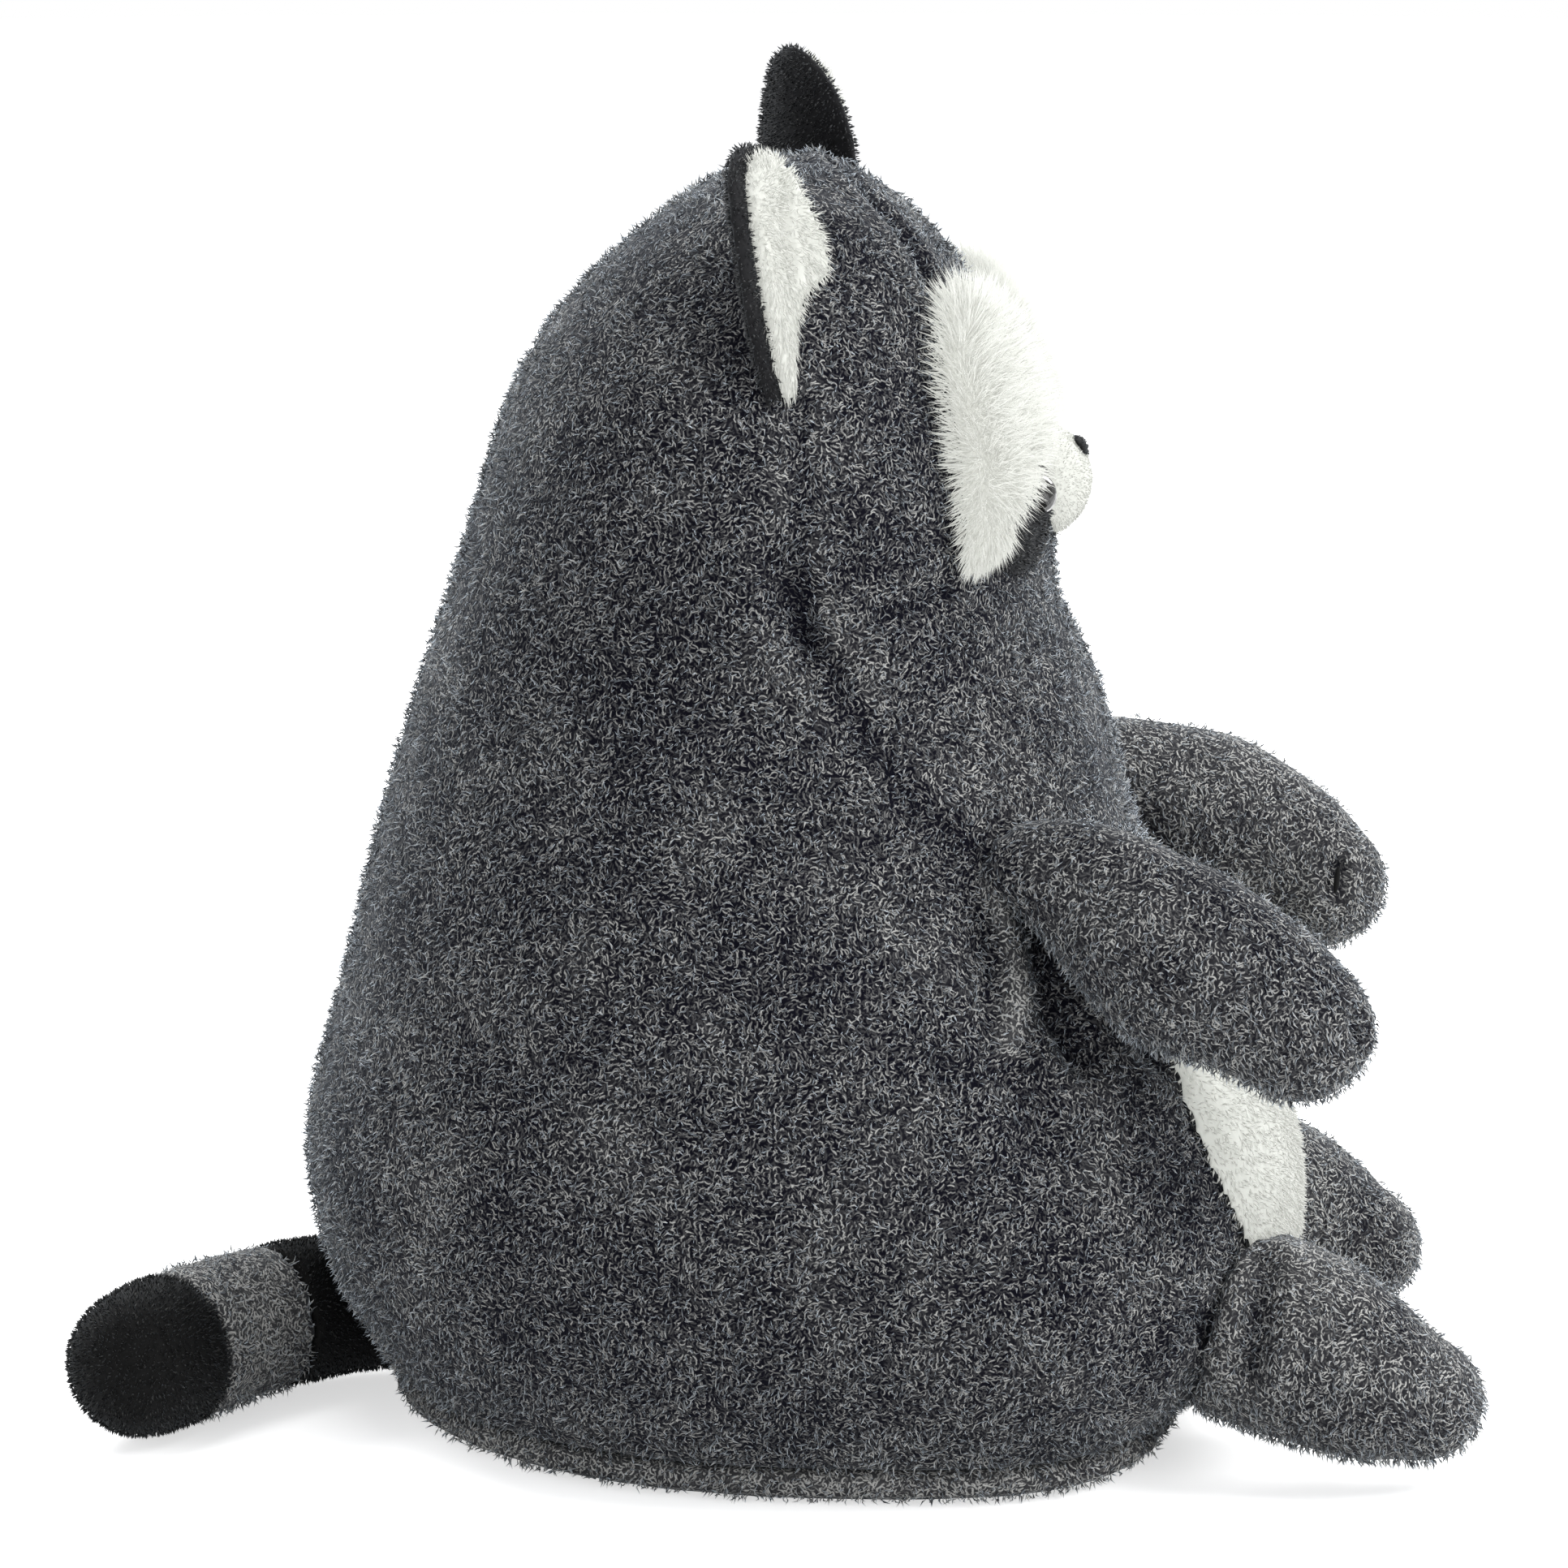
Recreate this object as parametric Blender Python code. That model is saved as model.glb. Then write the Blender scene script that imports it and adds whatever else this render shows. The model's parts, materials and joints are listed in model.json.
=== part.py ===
"""Seated plush raccoon: a stuffed pear-shaped body with sewn-on limbs, ears, tail and face panels.

Metres, +Z up, facing -Y. The toy's own right side is -X. The origin is on the floor,
under the middle of the toy's box. Each sewn piece is one closed solid.
"""
import math

import bmesh
import bpy
from mathutils import Vector
from mathutils.bvhtree import BVHTree

# Clearances
SEAM_GAP = 0.0004
PATCH_LIFT = 0.0010

# Body: stuffed skin over the base panel
BODY_HEIGHT = 0.3490
BODY_DEPTH = 0.2740
BODY_WIDTH = 0.2580
BASE_THICKNESS = 0.0095
BASE_ROUNDING = 0.0060
HIP_LEAD = 0.0150
FRONT_SQUARENESS = 0.95
BACK_SQUARENESS = 0.25
BODY_SIDES = 52
BODY_LEVELS = 40

# Creases pressed into the body by its seams and folds
SEAM_DEPTH = 0.0028
SEAM_SPREAD = 0.0055
FOLD_DEPTH = 0.0064
FOLD_SPREAD = 0.0095
RIDGE_HEIGHT = 0.0016
RIDGE_SPREAD = 0.0060

# Belly panel
BELLY_WIDTH = 0.1660
BELLY_HEIGHT = 0.1280
BELLY_PAD = 0.0030

# Ears
EAR_LENGTH = 0.0820
EAR_WIDTH = 0.0400
EAR_BACK_THICKNESS = 0.0045
EAR_LINING_THICKNESS = 0.0022
EAR_RIM = 0.0045
EAR_CUP = 0.0080

# Arms and feet
ARM_LENGTH = 0.1320
ARM_THICKNESS = 0.0480
FOOT_LENGTH = 0.1160
FOOT_THICKNESS = 0.0590

# Tail, in three bands
TAIL_LENGTH = 0.1130
TAIL_THICKNESS = 0.0410
TAIL_CLEARANCE = 0.0018

# Face
BROW_WIDTH = 0.0580
BROW_HEIGHT = 0.0680
BROW_PAD = 0.0060
MASK_WIDTH = 0.0470
MASK_HEIGHT = 0.0400
MASK_PAD = 0.0018
MUZZLE_WIDTH = 0.0420
MUZZLE_HEIGHT = 0.0315
MUZZLE_DEPTH = 0.0330
NOSE_WIDTH = 0.0130
NOSE_HEIGHT = 0.0090
NOSE_DEPTH = 0.0075
NOSE_SEAT = 0.87
EYE_DIAMETER = 0.0105
EYE_BULGE = 0.0042
EYE_SIDES = 16

# The body's outline from crown to seam: height, back edge, front edge and half width.
# Heights are shares of BODY_HEIGHT, edges of BODY_DEPTH (+ is the back), widths of half BODY_WIDTH.
BODY_OUTLINE = (
    (1.000, -0.028, -0.028, 0.000),
    (0.990, 0.042, -0.050, 0.190),
    (0.960, 0.106, -0.112, 0.370),
    (0.905, 0.190, -0.184, 0.520),
    (0.830, 0.262, -0.222, 0.655),
    (0.745, 0.298, -0.262, 0.725),
    (0.660, 0.332, -0.280, 0.735),
    (0.570, 0.370, -0.322, 0.775),
    (0.460, 0.410, -0.356, 0.875),
    (0.340, 0.446, -0.438, 0.962),
    (0.225, 0.486, -0.506, 1.000),
    (0.130, 0.468, -0.508, 0.972),
    (0.072, 0.432, -0.466, 0.910),
    (0.036, 0.402, -0.412, 0.840),
)

# Places on the body, as shares of its height, half depth and half width
EAR_SEAT = (0.605, 0.826)
SHOULDER = (0.500, -0.300, 0.428)
ANKLE = (0.440, -0.650, 0.104)
TAIL_ROOT = (0.010, 0.700, 0.0)
BELLY_CENTRE = (0.000, 0.254)
BROW_CENTRE = (0.330, 0.797)
MASK_CENTRE = (0.292, 0.748)
EYE_CENTRE = (0.225, 0.744)
MUZZLE_HEIGHT_SHARE = 0.744

# Small differences between the toy's right (-1) and left (+1) side
EAR_AHEAD = {-1: -0.0112, 1: 0.0048}
EAR_DROP = {-1: 0.0100, 1: -0.0045}
EAR_LEAN = {-1: 15.0, 1: 15.0}
EAR_TURN = {-1: 34.0, 1: 46.0}
EAR_TILT = {-1: 0.17, 1: -0.10}
ARM_LIFT = {-1: 0.004, 1: -0.001}
ARM_REACH = {-1: 0.95, 1: 1.04}
FOOT_LIFT = {-1: 0.0020, 1: -0.0005}
FOOT_REACH = {-1: 1.00, 1: 0.87}
SIDE_NAME = {-1: "right", 1: "left"}

GRAY = (0.060, 0.060, 0.067)
DARK = (0.016, 0.016, 0.017)
BLACK = (0.008, 0.008, 0.009)
WHITE = (0.780, 0.800, 0.730)
GLOSS = (0.004, 0.004, 0.004)


def plush(name, colour, roughness=0.95):
    """One material per piece."""
    material = bpy.data.materials.new(name)
    material.use_nodes = True
    shader = material.node_tree.nodes["Principled BSDF"]
    shader.inputs["Base Color"].default_value = (*colour, 1.0)
    shader.inputs["Roughness"].default_value = roughness
    shader.inputs["Metallic"].default_value = 0.0
    return material


def add_piece(name, bm, colour, roughness=0.95):
    """Close a bmesh off as a named object with its own material."""
    bmesh.ops.remove_doubles(bm, verts=bm.verts, dist=0.00001)
    bmesh.ops.recalc_face_normals(bm, faces=bm.faces)
    bmesh.ops.triangulate(bm, faces=bm.faces)
    mesh = bpy.data.meshes.new(name)
    bm.to_mesh(mesh)
    bm.free()
    mesh.shade_smooth()
    mesh.set_sharp_from_angle(angle=math.radians(50.0))
    mesh.materials.append(plush(name, colour, roughness))
    piece = bpy.data.objects.new(name, mesh)
    bpy.context.collection.objects.link(piece)
    return piece


def smooth_row(points, share):
    """A point on the Catmull-Rom curve through the rows of numbers, share running 0 to 1."""
    place = min(max(share, 0.0), 1.0) * (len(points) - 1)
    i = min(int(place), len(points) - 2)
    t = place - i
    last = len(points) - 1
    before = points[i - 1] if i else [2.0 * a - b for a, b in zip(points[0], points[1])]
    after = points[i + 2] if i + 2 <= last else [2.0 * a - b for a, b in zip(points[last], points[last - 1])]
    row = []
    for p0, p1, p2, p3 in zip(before, points[i], points[i + 1], after):
        bend = 2.0 * p1 + (p2 - p0) * t
        bend += (2.0 * p0 - 5.0 * p1 + 4.0 * p2 - p3) * t * t
        bend += (3.0 * p1 - p0 - 3.0 * p2 + p3) * t ** 3
        row.append(bend / 2.0)
    return row


def loft(rings, start=None, end=None):
    """Join rings of points into one closed skin, each end shut by a pole or a flat disc."""
    bm = bmesh.new()
    loops = [[bm.verts.new(point) for point in ring] for ring in rings]
    count = len(loops[0])
    for lower, upper in zip(loops, loops[1:]):
        for i in range(count):
            j = (i + 1) % count
            bm.faces.new((lower[i], lower[j], upper[j], upper[i]))
    for loop, pole in ((loops[0], start), (loops[-1], end)):
        centre = pole if pole is not None else sum((v.co for v in loop), Vector()) / count
        tip = bm.verts.new(centre)
        for i in range(count):
            bm.faces.new((loop[i], loop[(i + 1) % count], tip))
    bmesh.ops.recalc_face_normals(bm, faces=bm.faces)
    return bm


def body_ring(share, scale=1.0, height=None):
    """One level loop of the body, share 0 at the crown and 1 at the bottom seam."""
    up, back, front, half = smooth_row(BODY_OUTLINE, share)
    middle = (back + front) / 2.0 * BODY_DEPTH
    deep = (back - front) / 2.0 * BODY_DEPTH * scale
    wide = half * BODY_WIDTH / 2.0 * scale
    z = up * BODY_HEIGHT if height is None else height
    ring = []
    for i in range(BODY_SIDES):
        across, along = math.sin(math.tau * i / BODY_SIDES), math.cos(math.tau * i / BODY_SIDES)
        squareness = FRONT_SQUARENESS if along > 0.0 else BACK_SQUARENESS
        power = 2.0 / (2.0 + squareness * (1.0 - up) ** 2)
        lead = HIP_LEAD * (1.0 - up) ** 2 * across ** 2 * scale
        x = wide * math.copysign(abs(across) ** power, across)
        y = middle - deep * math.copysign(abs(along) ** power, along) - lead
        ring.append(Vector((x, y, z)))
    return ring


def body_skin():
    """The stuffed body before its creases: crown pole, level loops, flat underside."""
    up, back, _, _ = BODY_OUTLINE[0]
    crown = Vector((0.0, back * BODY_DEPTH, up * BODY_HEIGHT))
    rings = [body_ring(i / BODY_LEVELS) for i in range(1, BODY_LEVELS)]
    underside = BASE_THICKNESS + SEAM_GAP
    rings.append(body_ring(1.0, 1.0, underside + BASE_ROUNDING / 2.0))
    rings.append(body_ring(1.0, 0.975, underside))
    rings.append(body_ring(1.0, 0.5, underside))
    return loft(rings, start=crown)


def from_side(tree, side, ahead, up):
    """Where a level line across the toy meets the body, by shares of half depth and height."""
    start = Vector((side * BODY_WIDTH, ahead * BODY_DEPTH / 2.0, up * BODY_HEIGHT))
    return tree.ray_cast(start, Vector((-side, 0.0, 0.0)))[0]


def from_front(tree, x, z):
    """Point and outward normal where a line from the front meets the body."""
    point, normal, _, _ = tree.ray_cast(Vector((x, -BODY_DEPTH, z)), Vector((0.0, 1.0, 0.0)))
    return point, normal


def side_path(tree, side, route):
    return [from_side(tree, side, ahead, up) for ahead, up in route]


def front_path(tree, side, route):
    return [from_front(tree, side * out * BODY_WIDTH / 2.0, up * BODY_HEIGHT)[0] for out, up in route]


def distance_to(path, point):
    """Shortest distance from a point to a path, fading nothing at its ends."""
    best = math.inf
    for a, b in zip(path, path[1:]):
        along = b - a
        t = min(max((point - a).dot(along) / along.length_squared, 0.0), 1.0)
        best = min(best, (point - a - along * t).length)
    return best


def press(bm, path, depth, spread):
    """Press a soft valley into the skin along a path; a negative depth raises a ridge."""
    bm.normal_update()
    moves = []
    for vert in bm.verts:
        near = distance_to(path, vert.co)
        if near < 3.0 * spread:
            moves.append((vert, vert.normal * -depth * math.exp(-(near / spread) ** 2)))
    for vert, move in moves:
        vert.co += move


# Routes seen from the side, as (ahead share of half depth, height share)
SIDE_SEAM = ((-0.040, 0.840), (-0.075, 0.705), (-0.095, 0.655), (-0.200, 0.580), (-0.300, 0.515), (-0.400, 0.480))
CHEEK_FOLD = ((-0.085, 0.700), (-0.140, 0.625), (-0.260, 0.590), (-0.420, 0.600))
BACK_TUCK = ((0.300, 0.640), (0.120, 0.600), (-0.020, 0.640))
FLANK_FOLD = ((-0.430, 0.450), (-0.500, 0.370), (-0.560, 0.290))
ANKLE_FOLD = ((-0.780, 0.215), (-0.740, 0.150), (-0.690, 0.070))

# Routes seen from the front, as (outward share of half width, height share)
FOREHEAD_RIDGE = ((0.090, 0.985), (0.160, 0.945), (0.200, 0.905))
TEMPLE_RIDGE = ((0.290, 0.965), (0.330, 0.930), (0.350, 0.890))
CHIN_FOLD = ((0.000, 0.655), (0.240, 0.650), (0.420, 0.640))


def make_body():
    """Body with the seams, folds and ridges that its stuffing pulls into it."""
    bm = body_skin()
    bmesh.ops.remove_doubles(bm, verts=bm.verts, dist=0.00001)
    tree = BVHTree.FromBMesh(bm)
    for side in (-1, 1):
        press(bm, side_path(tree, side, SIDE_SEAM), SEAM_DEPTH, SEAM_SPREAD)
        press(bm, side_path(tree, side, CHEEK_FOLD), FOLD_DEPTH * 0.7, FOLD_SPREAD)
        press(bm, side_path(tree, side, BACK_TUCK), FOLD_DEPTH * 0.45, FOLD_SPREAD * 1.3)
        press(bm, side_path(tree, side, FLANK_FOLD), FOLD_DEPTH, FOLD_SPREAD)
        press(bm, side_path(tree, side, ANKLE_FOLD), FOLD_DEPTH * 0.5, FOLD_SPREAD * 0.8)
        press(bm, front_path(tree, side, FOREHEAD_RIDGE), -RIDGE_HEIGHT, RIDGE_SPREAD)
        press(bm, front_path(tree, side, TEMPLE_RIDGE), -RIDGE_HEIGHT, RIDGE_SPREAD)
        press(bm, front_path(tree, side, CHIN_FOLD), FOLD_DEPTH * 0.5, FOLD_SPREAD)
    bmesh.ops.triangulate(bm, faces=bm.faces)
    tree = BVHTree.FromBMesh(bm)
    return add_piece("body", bm, GRAY), tree


def make_base():
    """The gusset that shuts the body's underside and lies flat on the floor."""
    rings = [
        body_ring(1.0, 0.45, 0.0),
        body_ring(1.0, 0.90, 0.0),
        body_ring(1.0, 0.955, BASE_ROUNDING * 0.22),
        body_ring(1.0, 0.990, BASE_ROUNDING * 0.70),
        body_ring(1.0, 0.998, BASE_THICKNESS * 0.80),
        body_ring(1.0, 0.975, BASE_THICKNESS),
        body_ring(1.0, 0.50, BASE_THICKNESS),
    ]
    return add_piece("base_panel", loft(rings), GRAY)


def keep_clear(piece, blockers):
    """Cut a piece back to the seam gap from each neighbour it is sewn to."""
    for blocker in blockers:
        cutter = bpy.data.objects.get("clear_of_" + blocker.name)
        if cutter is None:
            bm = bmesh.new()
            bm.from_mesh(blocker.data)
            bm.normal_update()
            swell = [(vert, vert.normal * SEAM_GAP) for vert in bm.verts]
            for vert, move in swell:
                vert.co += move
            mesh = bpy.data.meshes.new("clear_of_" + blocker.name)
            bm.to_mesh(mesh)
            bm.free()
            cutter = bpy.data.objects.new("clear_of_" + blocker.name, mesh)
            bpy.context.collection.objects.link(cutter)
            cutter.hide_render = True
            cutter.display_type = "WIRE"
        cut = piece.modifiers.new("clear_of_" + blocker.name, "BOOLEAN")
        cut.operation = "DIFFERENCE"
        cut.solver = "EXACT"
        cut.object = cutter


def round_rows(outline, count):
    """Evenly shared points on the smooth closed curve through an outline."""
    size = len(outline)
    ring = []
    for i in range(count):
        place = i / count * size
        k = int(place)
        rows = [outline[(k + step) % size] for step in (-1, 0, 1, 2)]
        ring.append(smooth_row(rows, (1.0 + place - k) / 3.0))
    return ring


# How a pad swells at its edge: share of the outline, share of the thickness
PAD_EDGE = ((1.000, 0.30), (0.975, 0.62), (0.900, 0.90))
PAD_STEP = 0.0088


def pad(outline, place, low, high, count=24):
    """A sewn pad between two distances from a surface, with a soft round edge."""
    flat = round_rows(outline, count)
    cu = sum(u for u, _ in flat) / count
    cv = sum(v for _, v in flat) / count

    def ring(share, distance):
        points = []
        for u, v in flat:
            point, normal = place(cu + (u - cu) * share, cv + (v - cv) * share)
            points.append(point + normal * distance)
        return points

    span = max(max(u for u, _ in flat) - min(u for u, _ in flat), max(v for _, v in flat) - min(v for _, v in flat))
    steps = max(3, math.ceil(span / 2.0 / PAD_STEP))
    inner = [i / steps for i in range(1, steps)]
    rings = [ring(share, low) for share in inner + [1.0]]
    rings += [ring(share, low + (high - low) * rise) for share, rise in PAD_EDGE]
    rings += [ring(share * 0.85 / inner[-1], high) for share in reversed(inner)]
    point, normal = place(cu, cv)
    return loft(rings, start=point + normal * low, end=point + normal * high)


OVAL = tuple((math.sin(math.tau * i / 12) / 2.0, math.cos(math.tau * i / 12) / 2.0) for i in range(12))

# Brow and mask outlines in their own box, first number outwards from the nose
BROW_OUTLINE = (
    (-0.500, 0.306), (-0.286, 0.476), (-0.036, 0.478), (0.143, 0.270), (0.270, 0.014), (0.380, -0.222),
    (0.455, -0.458), (0.321, -0.430), (0.143, -0.260), (-0.036, -0.180), (-0.250, -0.080), (-0.474, 0.020),
)
MASK_OUTLINE = (
    (0.470, -0.245), (0.270, -0.070), (0.050, 0.105), (-0.200, 0.285), (-0.430, 0.420), (-0.480, 0.180),
    (-0.380, -0.120), (-0.160, -0.340), (0.100, -0.480), (0.330, -0.460),
)
EAR_OUTLINE = (
    (0.000, 0.000), (0.170, 0.110), (0.370, 0.330), (0.480, 0.580), (0.400, 0.830), (0.180, 0.975),
    (-0.060, 1.000), (-0.300, 0.890), (-0.450, 0.660), (-0.430, 0.400), (-0.240, 0.150),
)


def sized(outline, side, centre, width, height):
    """An outline at its real size and place in the front view, mirrored for the right side."""
    x0, z0 = centre[0] * BODY_WIDTH / 2.0, centre[1] * BODY_HEIGHT
    return [(side * (x0 + u * width), z0 + v * height) for u, v in outline]


def make_patch(name, tree, side, outline, centre, size, thickness, colour):
    """A pad sewn on the front of the body."""
    rows = sized(outline, side, centre, *size)
    bm = pad(rows, lambda x, z: from_front(tree, x, z), PATCH_LIFT, PATCH_LIFT + thickness)
    return add_piece(name, bm, colour)


def make_ear(side, body):
    """A cupped leaf: dark velour back with a white lining set inside its rim."""
    out, up = EAR_SEAT
    foot = Vector((side * out * BODY_WIDTH / 2.0, EAR_AHEAD[side], up * BODY_HEIGHT - EAR_DROP[side]))
    turn, lean = math.radians(EAR_TURN[side]), math.radians(EAR_LEAN[side])
    facing = Vector((side * math.sin(turn), -math.cos(turn), 0.0))
    rise = Vector((-side * math.sin(lean), EAR_TILT[side], math.cos(lean))).normalized()
    facing = (facing - rise * facing.dot(rise)).normalized()
    across = rise.cross(facing) * side

    def sheet(u, v):
        curl = EAR_CUP * (2.0 * u / EAR_WIDTH) ** 2
        slope = 8.0 * EAR_CUP * u / EAR_WIDTH ** 2
        point = foot + across * u + rise * v + facing * curl
        return point, (facing - across * slope).normalized()

    rows = [(u * EAR_WIDTH, v * EAR_LENGTH) for u, v in EAR_OUTLINE]
    back = add_piece("ear_back_" + SIDE_NAME[side], pad(rows, sheet, -EAR_BACK_THICKNESS, 0.0), DARK)
    inset_u, inset_v = 1.0 - 2.0 * EAR_RIM / EAR_WIDTH, 1.0 - 2.0 * EAR_RIM / EAR_LENGTH
    rows = [(u * EAR_WIDTH * inset_u, EAR_RIM + v * EAR_LENGTH * inset_v) for u, v in EAR_OUTLINE]
    lining = pad(rows, sheet, SEAM_GAP, SEAM_GAP + EAR_LINING_THICKNESS)
    lining = add_piece("ear_lining_" + SIDE_NAME[side], lining, WHITE)
    keep_clear(back, [body])
    keep_clear(lining, [body])


def limb(path, reach, thickness, sides=16, steps=4, span=(0.0, 1.0), domes=(True, True)):
    """A stuffed limb along a path of (point, height share, width share) rows."""
    rows = [(*(Vector(point) * reach), high * thickness / 2.0, wide * thickness / 2.0) for point, high, wide in path]
    count = max(2, round(steps * (len(rows) - 1) * (span[1] - span[0])))
    rings = []

    def ring(share, push=0.0, shrink=1.0):
        x, y, z, high, wide = smooth_row(rows, share)
        before, after = smooth_row(rows, share - 0.02), smooth_row(rows, share + 0.02)
        along = (Vector(after[:3]) - Vector(before[:3])).normalized()
        across = along.cross(Vector((0.0, 0.0, 1.0))).normalized()
        over = across.cross(along)
        centre = Vector((x, y, z)) + along * push * (high + wide) / 2.0
        points = []
        for i in range(sides):
            turn = math.tau * i / sides
            points.append(centre + (across * wide * math.cos(turn) + over * high * math.sin(turn)) * shrink)
        return points, centre

    lean = [math.radians(a) for a in (80.0, 58.0, 38.0, 18.0)]
    if domes[0]:
        rings += [ring(span[0], -math.sin(a), math.cos(a))[0] for a in lean]
    rings += [ring(span[0] + (span[1] - span[0]) * i / count)[0] for i in range(count + 1)]
    if domes[1]:
        rings += [ring(span[1], math.sin(a), math.cos(a))[0] for a in reversed(lean)]
    start = ring(span[0], -1.0)[1] if domes[0] else None
    end = ring(span[1], 1.0)[1] if domes[1] else None
    return loft(rings, start, end)


def body_place(share, side=1):
    out, ahead, up = share
    return Vector((side * out * BODY_WIDTH / 2.0, ahead * BODY_DEPTH / 2.0, up * BODY_HEIGHT))


def make_arm(side, body):
    """A short arm, gathered at the shoulder, that reaches forward and droops at the paw."""
    rows = (
        ((0.00 * side, 0.000, 0.125), 0.34, 0.44),
        ((0.17 * side, -0.270, 0.118), 0.54, 0.62),
        ((0.27 * side, -0.520, -0.012), 1.06, 0.92),
        ((0.29 * side, -0.700, -0.095), 0.97, 0.86),
        ((0.275 * side, -0.805, -0.175), 0.86, 0.78),
    )
    bm = limb(rows, ARM_LENGTH * ARM_REACH[side], ARM_THICKNESS)
    bmesh.ops.translate(bm, verts=bm.verts, vec=body_place(SHOULDER, side) + Vector((0.0, 0.0, ARM_LIFT[side])))
    arm = add_piece("arm_" + SIDE_NAME[side], bm, GRAY)
    keep_clear(arm, [body])


def make_foot(side, body, belly):
    """A wedge-shaped foot that sticks out at the front, clear of the floor."""
    rows = (
        ((0.00 * side, 0.000, 0.060), 0.62, 0.66),
        ((0.08 * side, -0.230, 0.055), 0.88, 0.86),
        ((0.14 * side, -0.450, 0.005), 0.92, 0.94),
        ((0.16 * side, -0.640, -0.080), 0.78, 0.82),
        ((0.15 * side, -0.745, -0.122), 0.61, 0.66),
    )
    bm = limb(rows, FOOT_LENGTH * FOOT_REACH[side], FOOT_THICKNESS)
    bmesh.ops.translate(bm, verts=bm.verts, vec=body_place(ANKLE, side) + Vector((0.0, 0.0, FOOT_LIFT[side])))
    foot = add_piece("foot_" + SIDE_NAME[side], bm, GRAY)
    keep_clear(foot, [body, belly])


def make_tail(body, base):
    """Three bands sewn end to end along one curved tail."""
    rows = (
        ((0.000, 0.000, 0.0), 0.90, 0.90),
        ((-0.050, 0.240, 0.0), 0.93, 0.93),
        ((-0.220, 0.450, 0.0), 0.99, 0.99),
        ((-0.440, 0.600, 0.0), 1.02, 1.02),
        ((-0.570, 0.670, 0.0), 0.98, 0.98),
    )
    height = TAIL_THICKNESS * 1.02 / 2.0 + TAIL_CLEARANCE
    root = body_place(TAIL_ROOT) + Vector((0.0, 0.0, height))
    step = SEAM_GAP / TAIL_LENGTH / 2.0
    cuts = (0.0, 0.44, 0.765, 1.0)
    for i, (name, colour) in enumerate((("tail_base_band", BLACK), ("tail_middle_band", GRAY), ("tail_tip", BLACK))):
        span = (cuts[i] + step * (i > 0), cuts[i + 1] - step * (i < 2))
        bm = limb(rows, TAIL_LENGTH, TAIL_THICKNESS, 18, 6, span, (i == 0, i == 2))
        bmesh.ops.translate(bm, verts=bm.verts, vec=root)
        band = add_piece(name, bm, colour)
        if i == 0:
            keep_clear(band, [body, base])


def bead(name, centre, size, colour, roughness, segments=16):
    """A round stuffed or moulded piece: width, depth and height about its centre."""
    bm = bmesh.new()
    bmesh.ops.create_uvsphere(bm, u_segments=segments, v_segments=segments // 2 + 2, radius=0.5)
    bmesh.ops.scale(bm, verts=bm.verts, vec=Vector(size))
    bmesh.ops.translate(bm, verts=bm.verts, vec=centre)
    return add_piece(name, bm, colour, roughness)


def dome(centre, normal):
    """A bead eye: flat back on the mask panel, round front."""
    across = normal.orthogonal().normalized()
    over = normal.cross(across)
    rings = []
    for share in (0.0, 0.12, 0.30, 0.50, 0.72, 0.90):
        rise, radius = math.sin(share * math.pi / 2.0), math.cos(share * math.pi / 2.0)
        ring = []
        for i in range(EYE_SIDES):
            turn = math.tau * i / EYE_SIDES
            spoke = across * math.cos(turn) + over * math.sin(turn)
            ring.append(centre + spoke * radius * EYE_DIAMETER / 2.0 + normal * rise * EYE_BULGE)
        rings.append(ring)
    return loft(rings, end=centre + normal * EYE_BULGE)


def make_face(tree, body):
    """Brow and mask panels, bead eyes, a stuffed muzzle and its nose."""
    masks, brows = [], []
    for side in (-1, 1):
        hand = SIDE_NAME[side]
        size = (BROW_WIDTH, BROW_HEIGHT)
        brows.append(make_patch("brow_patch_" + hand, tree, side, BROW_OUTLINE, BROW_CENTRE, size, BROW_PAD, WHITE))
        size = (MASK_WIDTH, MASK_HEIGHT)
        masks.append(make_patch("mask_patch_" + hand, tree, side, MASK_OUTLINE, MASK_CENTRE, size, MASK_PAD, DARK))
        keep_clear(masks[-1], [brows[-1]])
        out, up = EYE_CENTRE
        point, normal = from_front(tree, side * out * BODY_WIDTH / 2.0, up * BODY_HEIGHT)
        add_piece("eye_" + hand, dome(point + normal * (PATCH_LIFT + MASK_PAD + SEAM_GAP), normal), GLOSS, 0.12)
    point, _ = from_front(tree, 0.0, MUZZLE_HEIGHT_SHARE * BODY_HEIGHT)
    centre = point + Vector((0.0, MUZZLE_DEPTH * 0.12, 0.0))
    muzzle = bead("muzzle", centre, (MUZZLE_WIDTH, MUZZLE_DEPTH, MUZZLE_HEIGHT), WHITE, 0.95, 22)
    keep_clear(muzzle, [body, *masks, *brows])
    lift = math.radians(34.0)
    rise = Vector((0.0, -math.cos(lift) * MUZZLE_DEPTH / 2.0, math.sin(lift) * MUZZLE_HEIGHT / 2.0))
    tip = centre + rise * NOSE_SEAT
    nose = bead("nose", tip, (NOSE_WIDTH, NOSE_DEPTH, NOSE_HEIGHT), BLACK, 0.4)
    keep_clear(nose, [muzzle])


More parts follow.
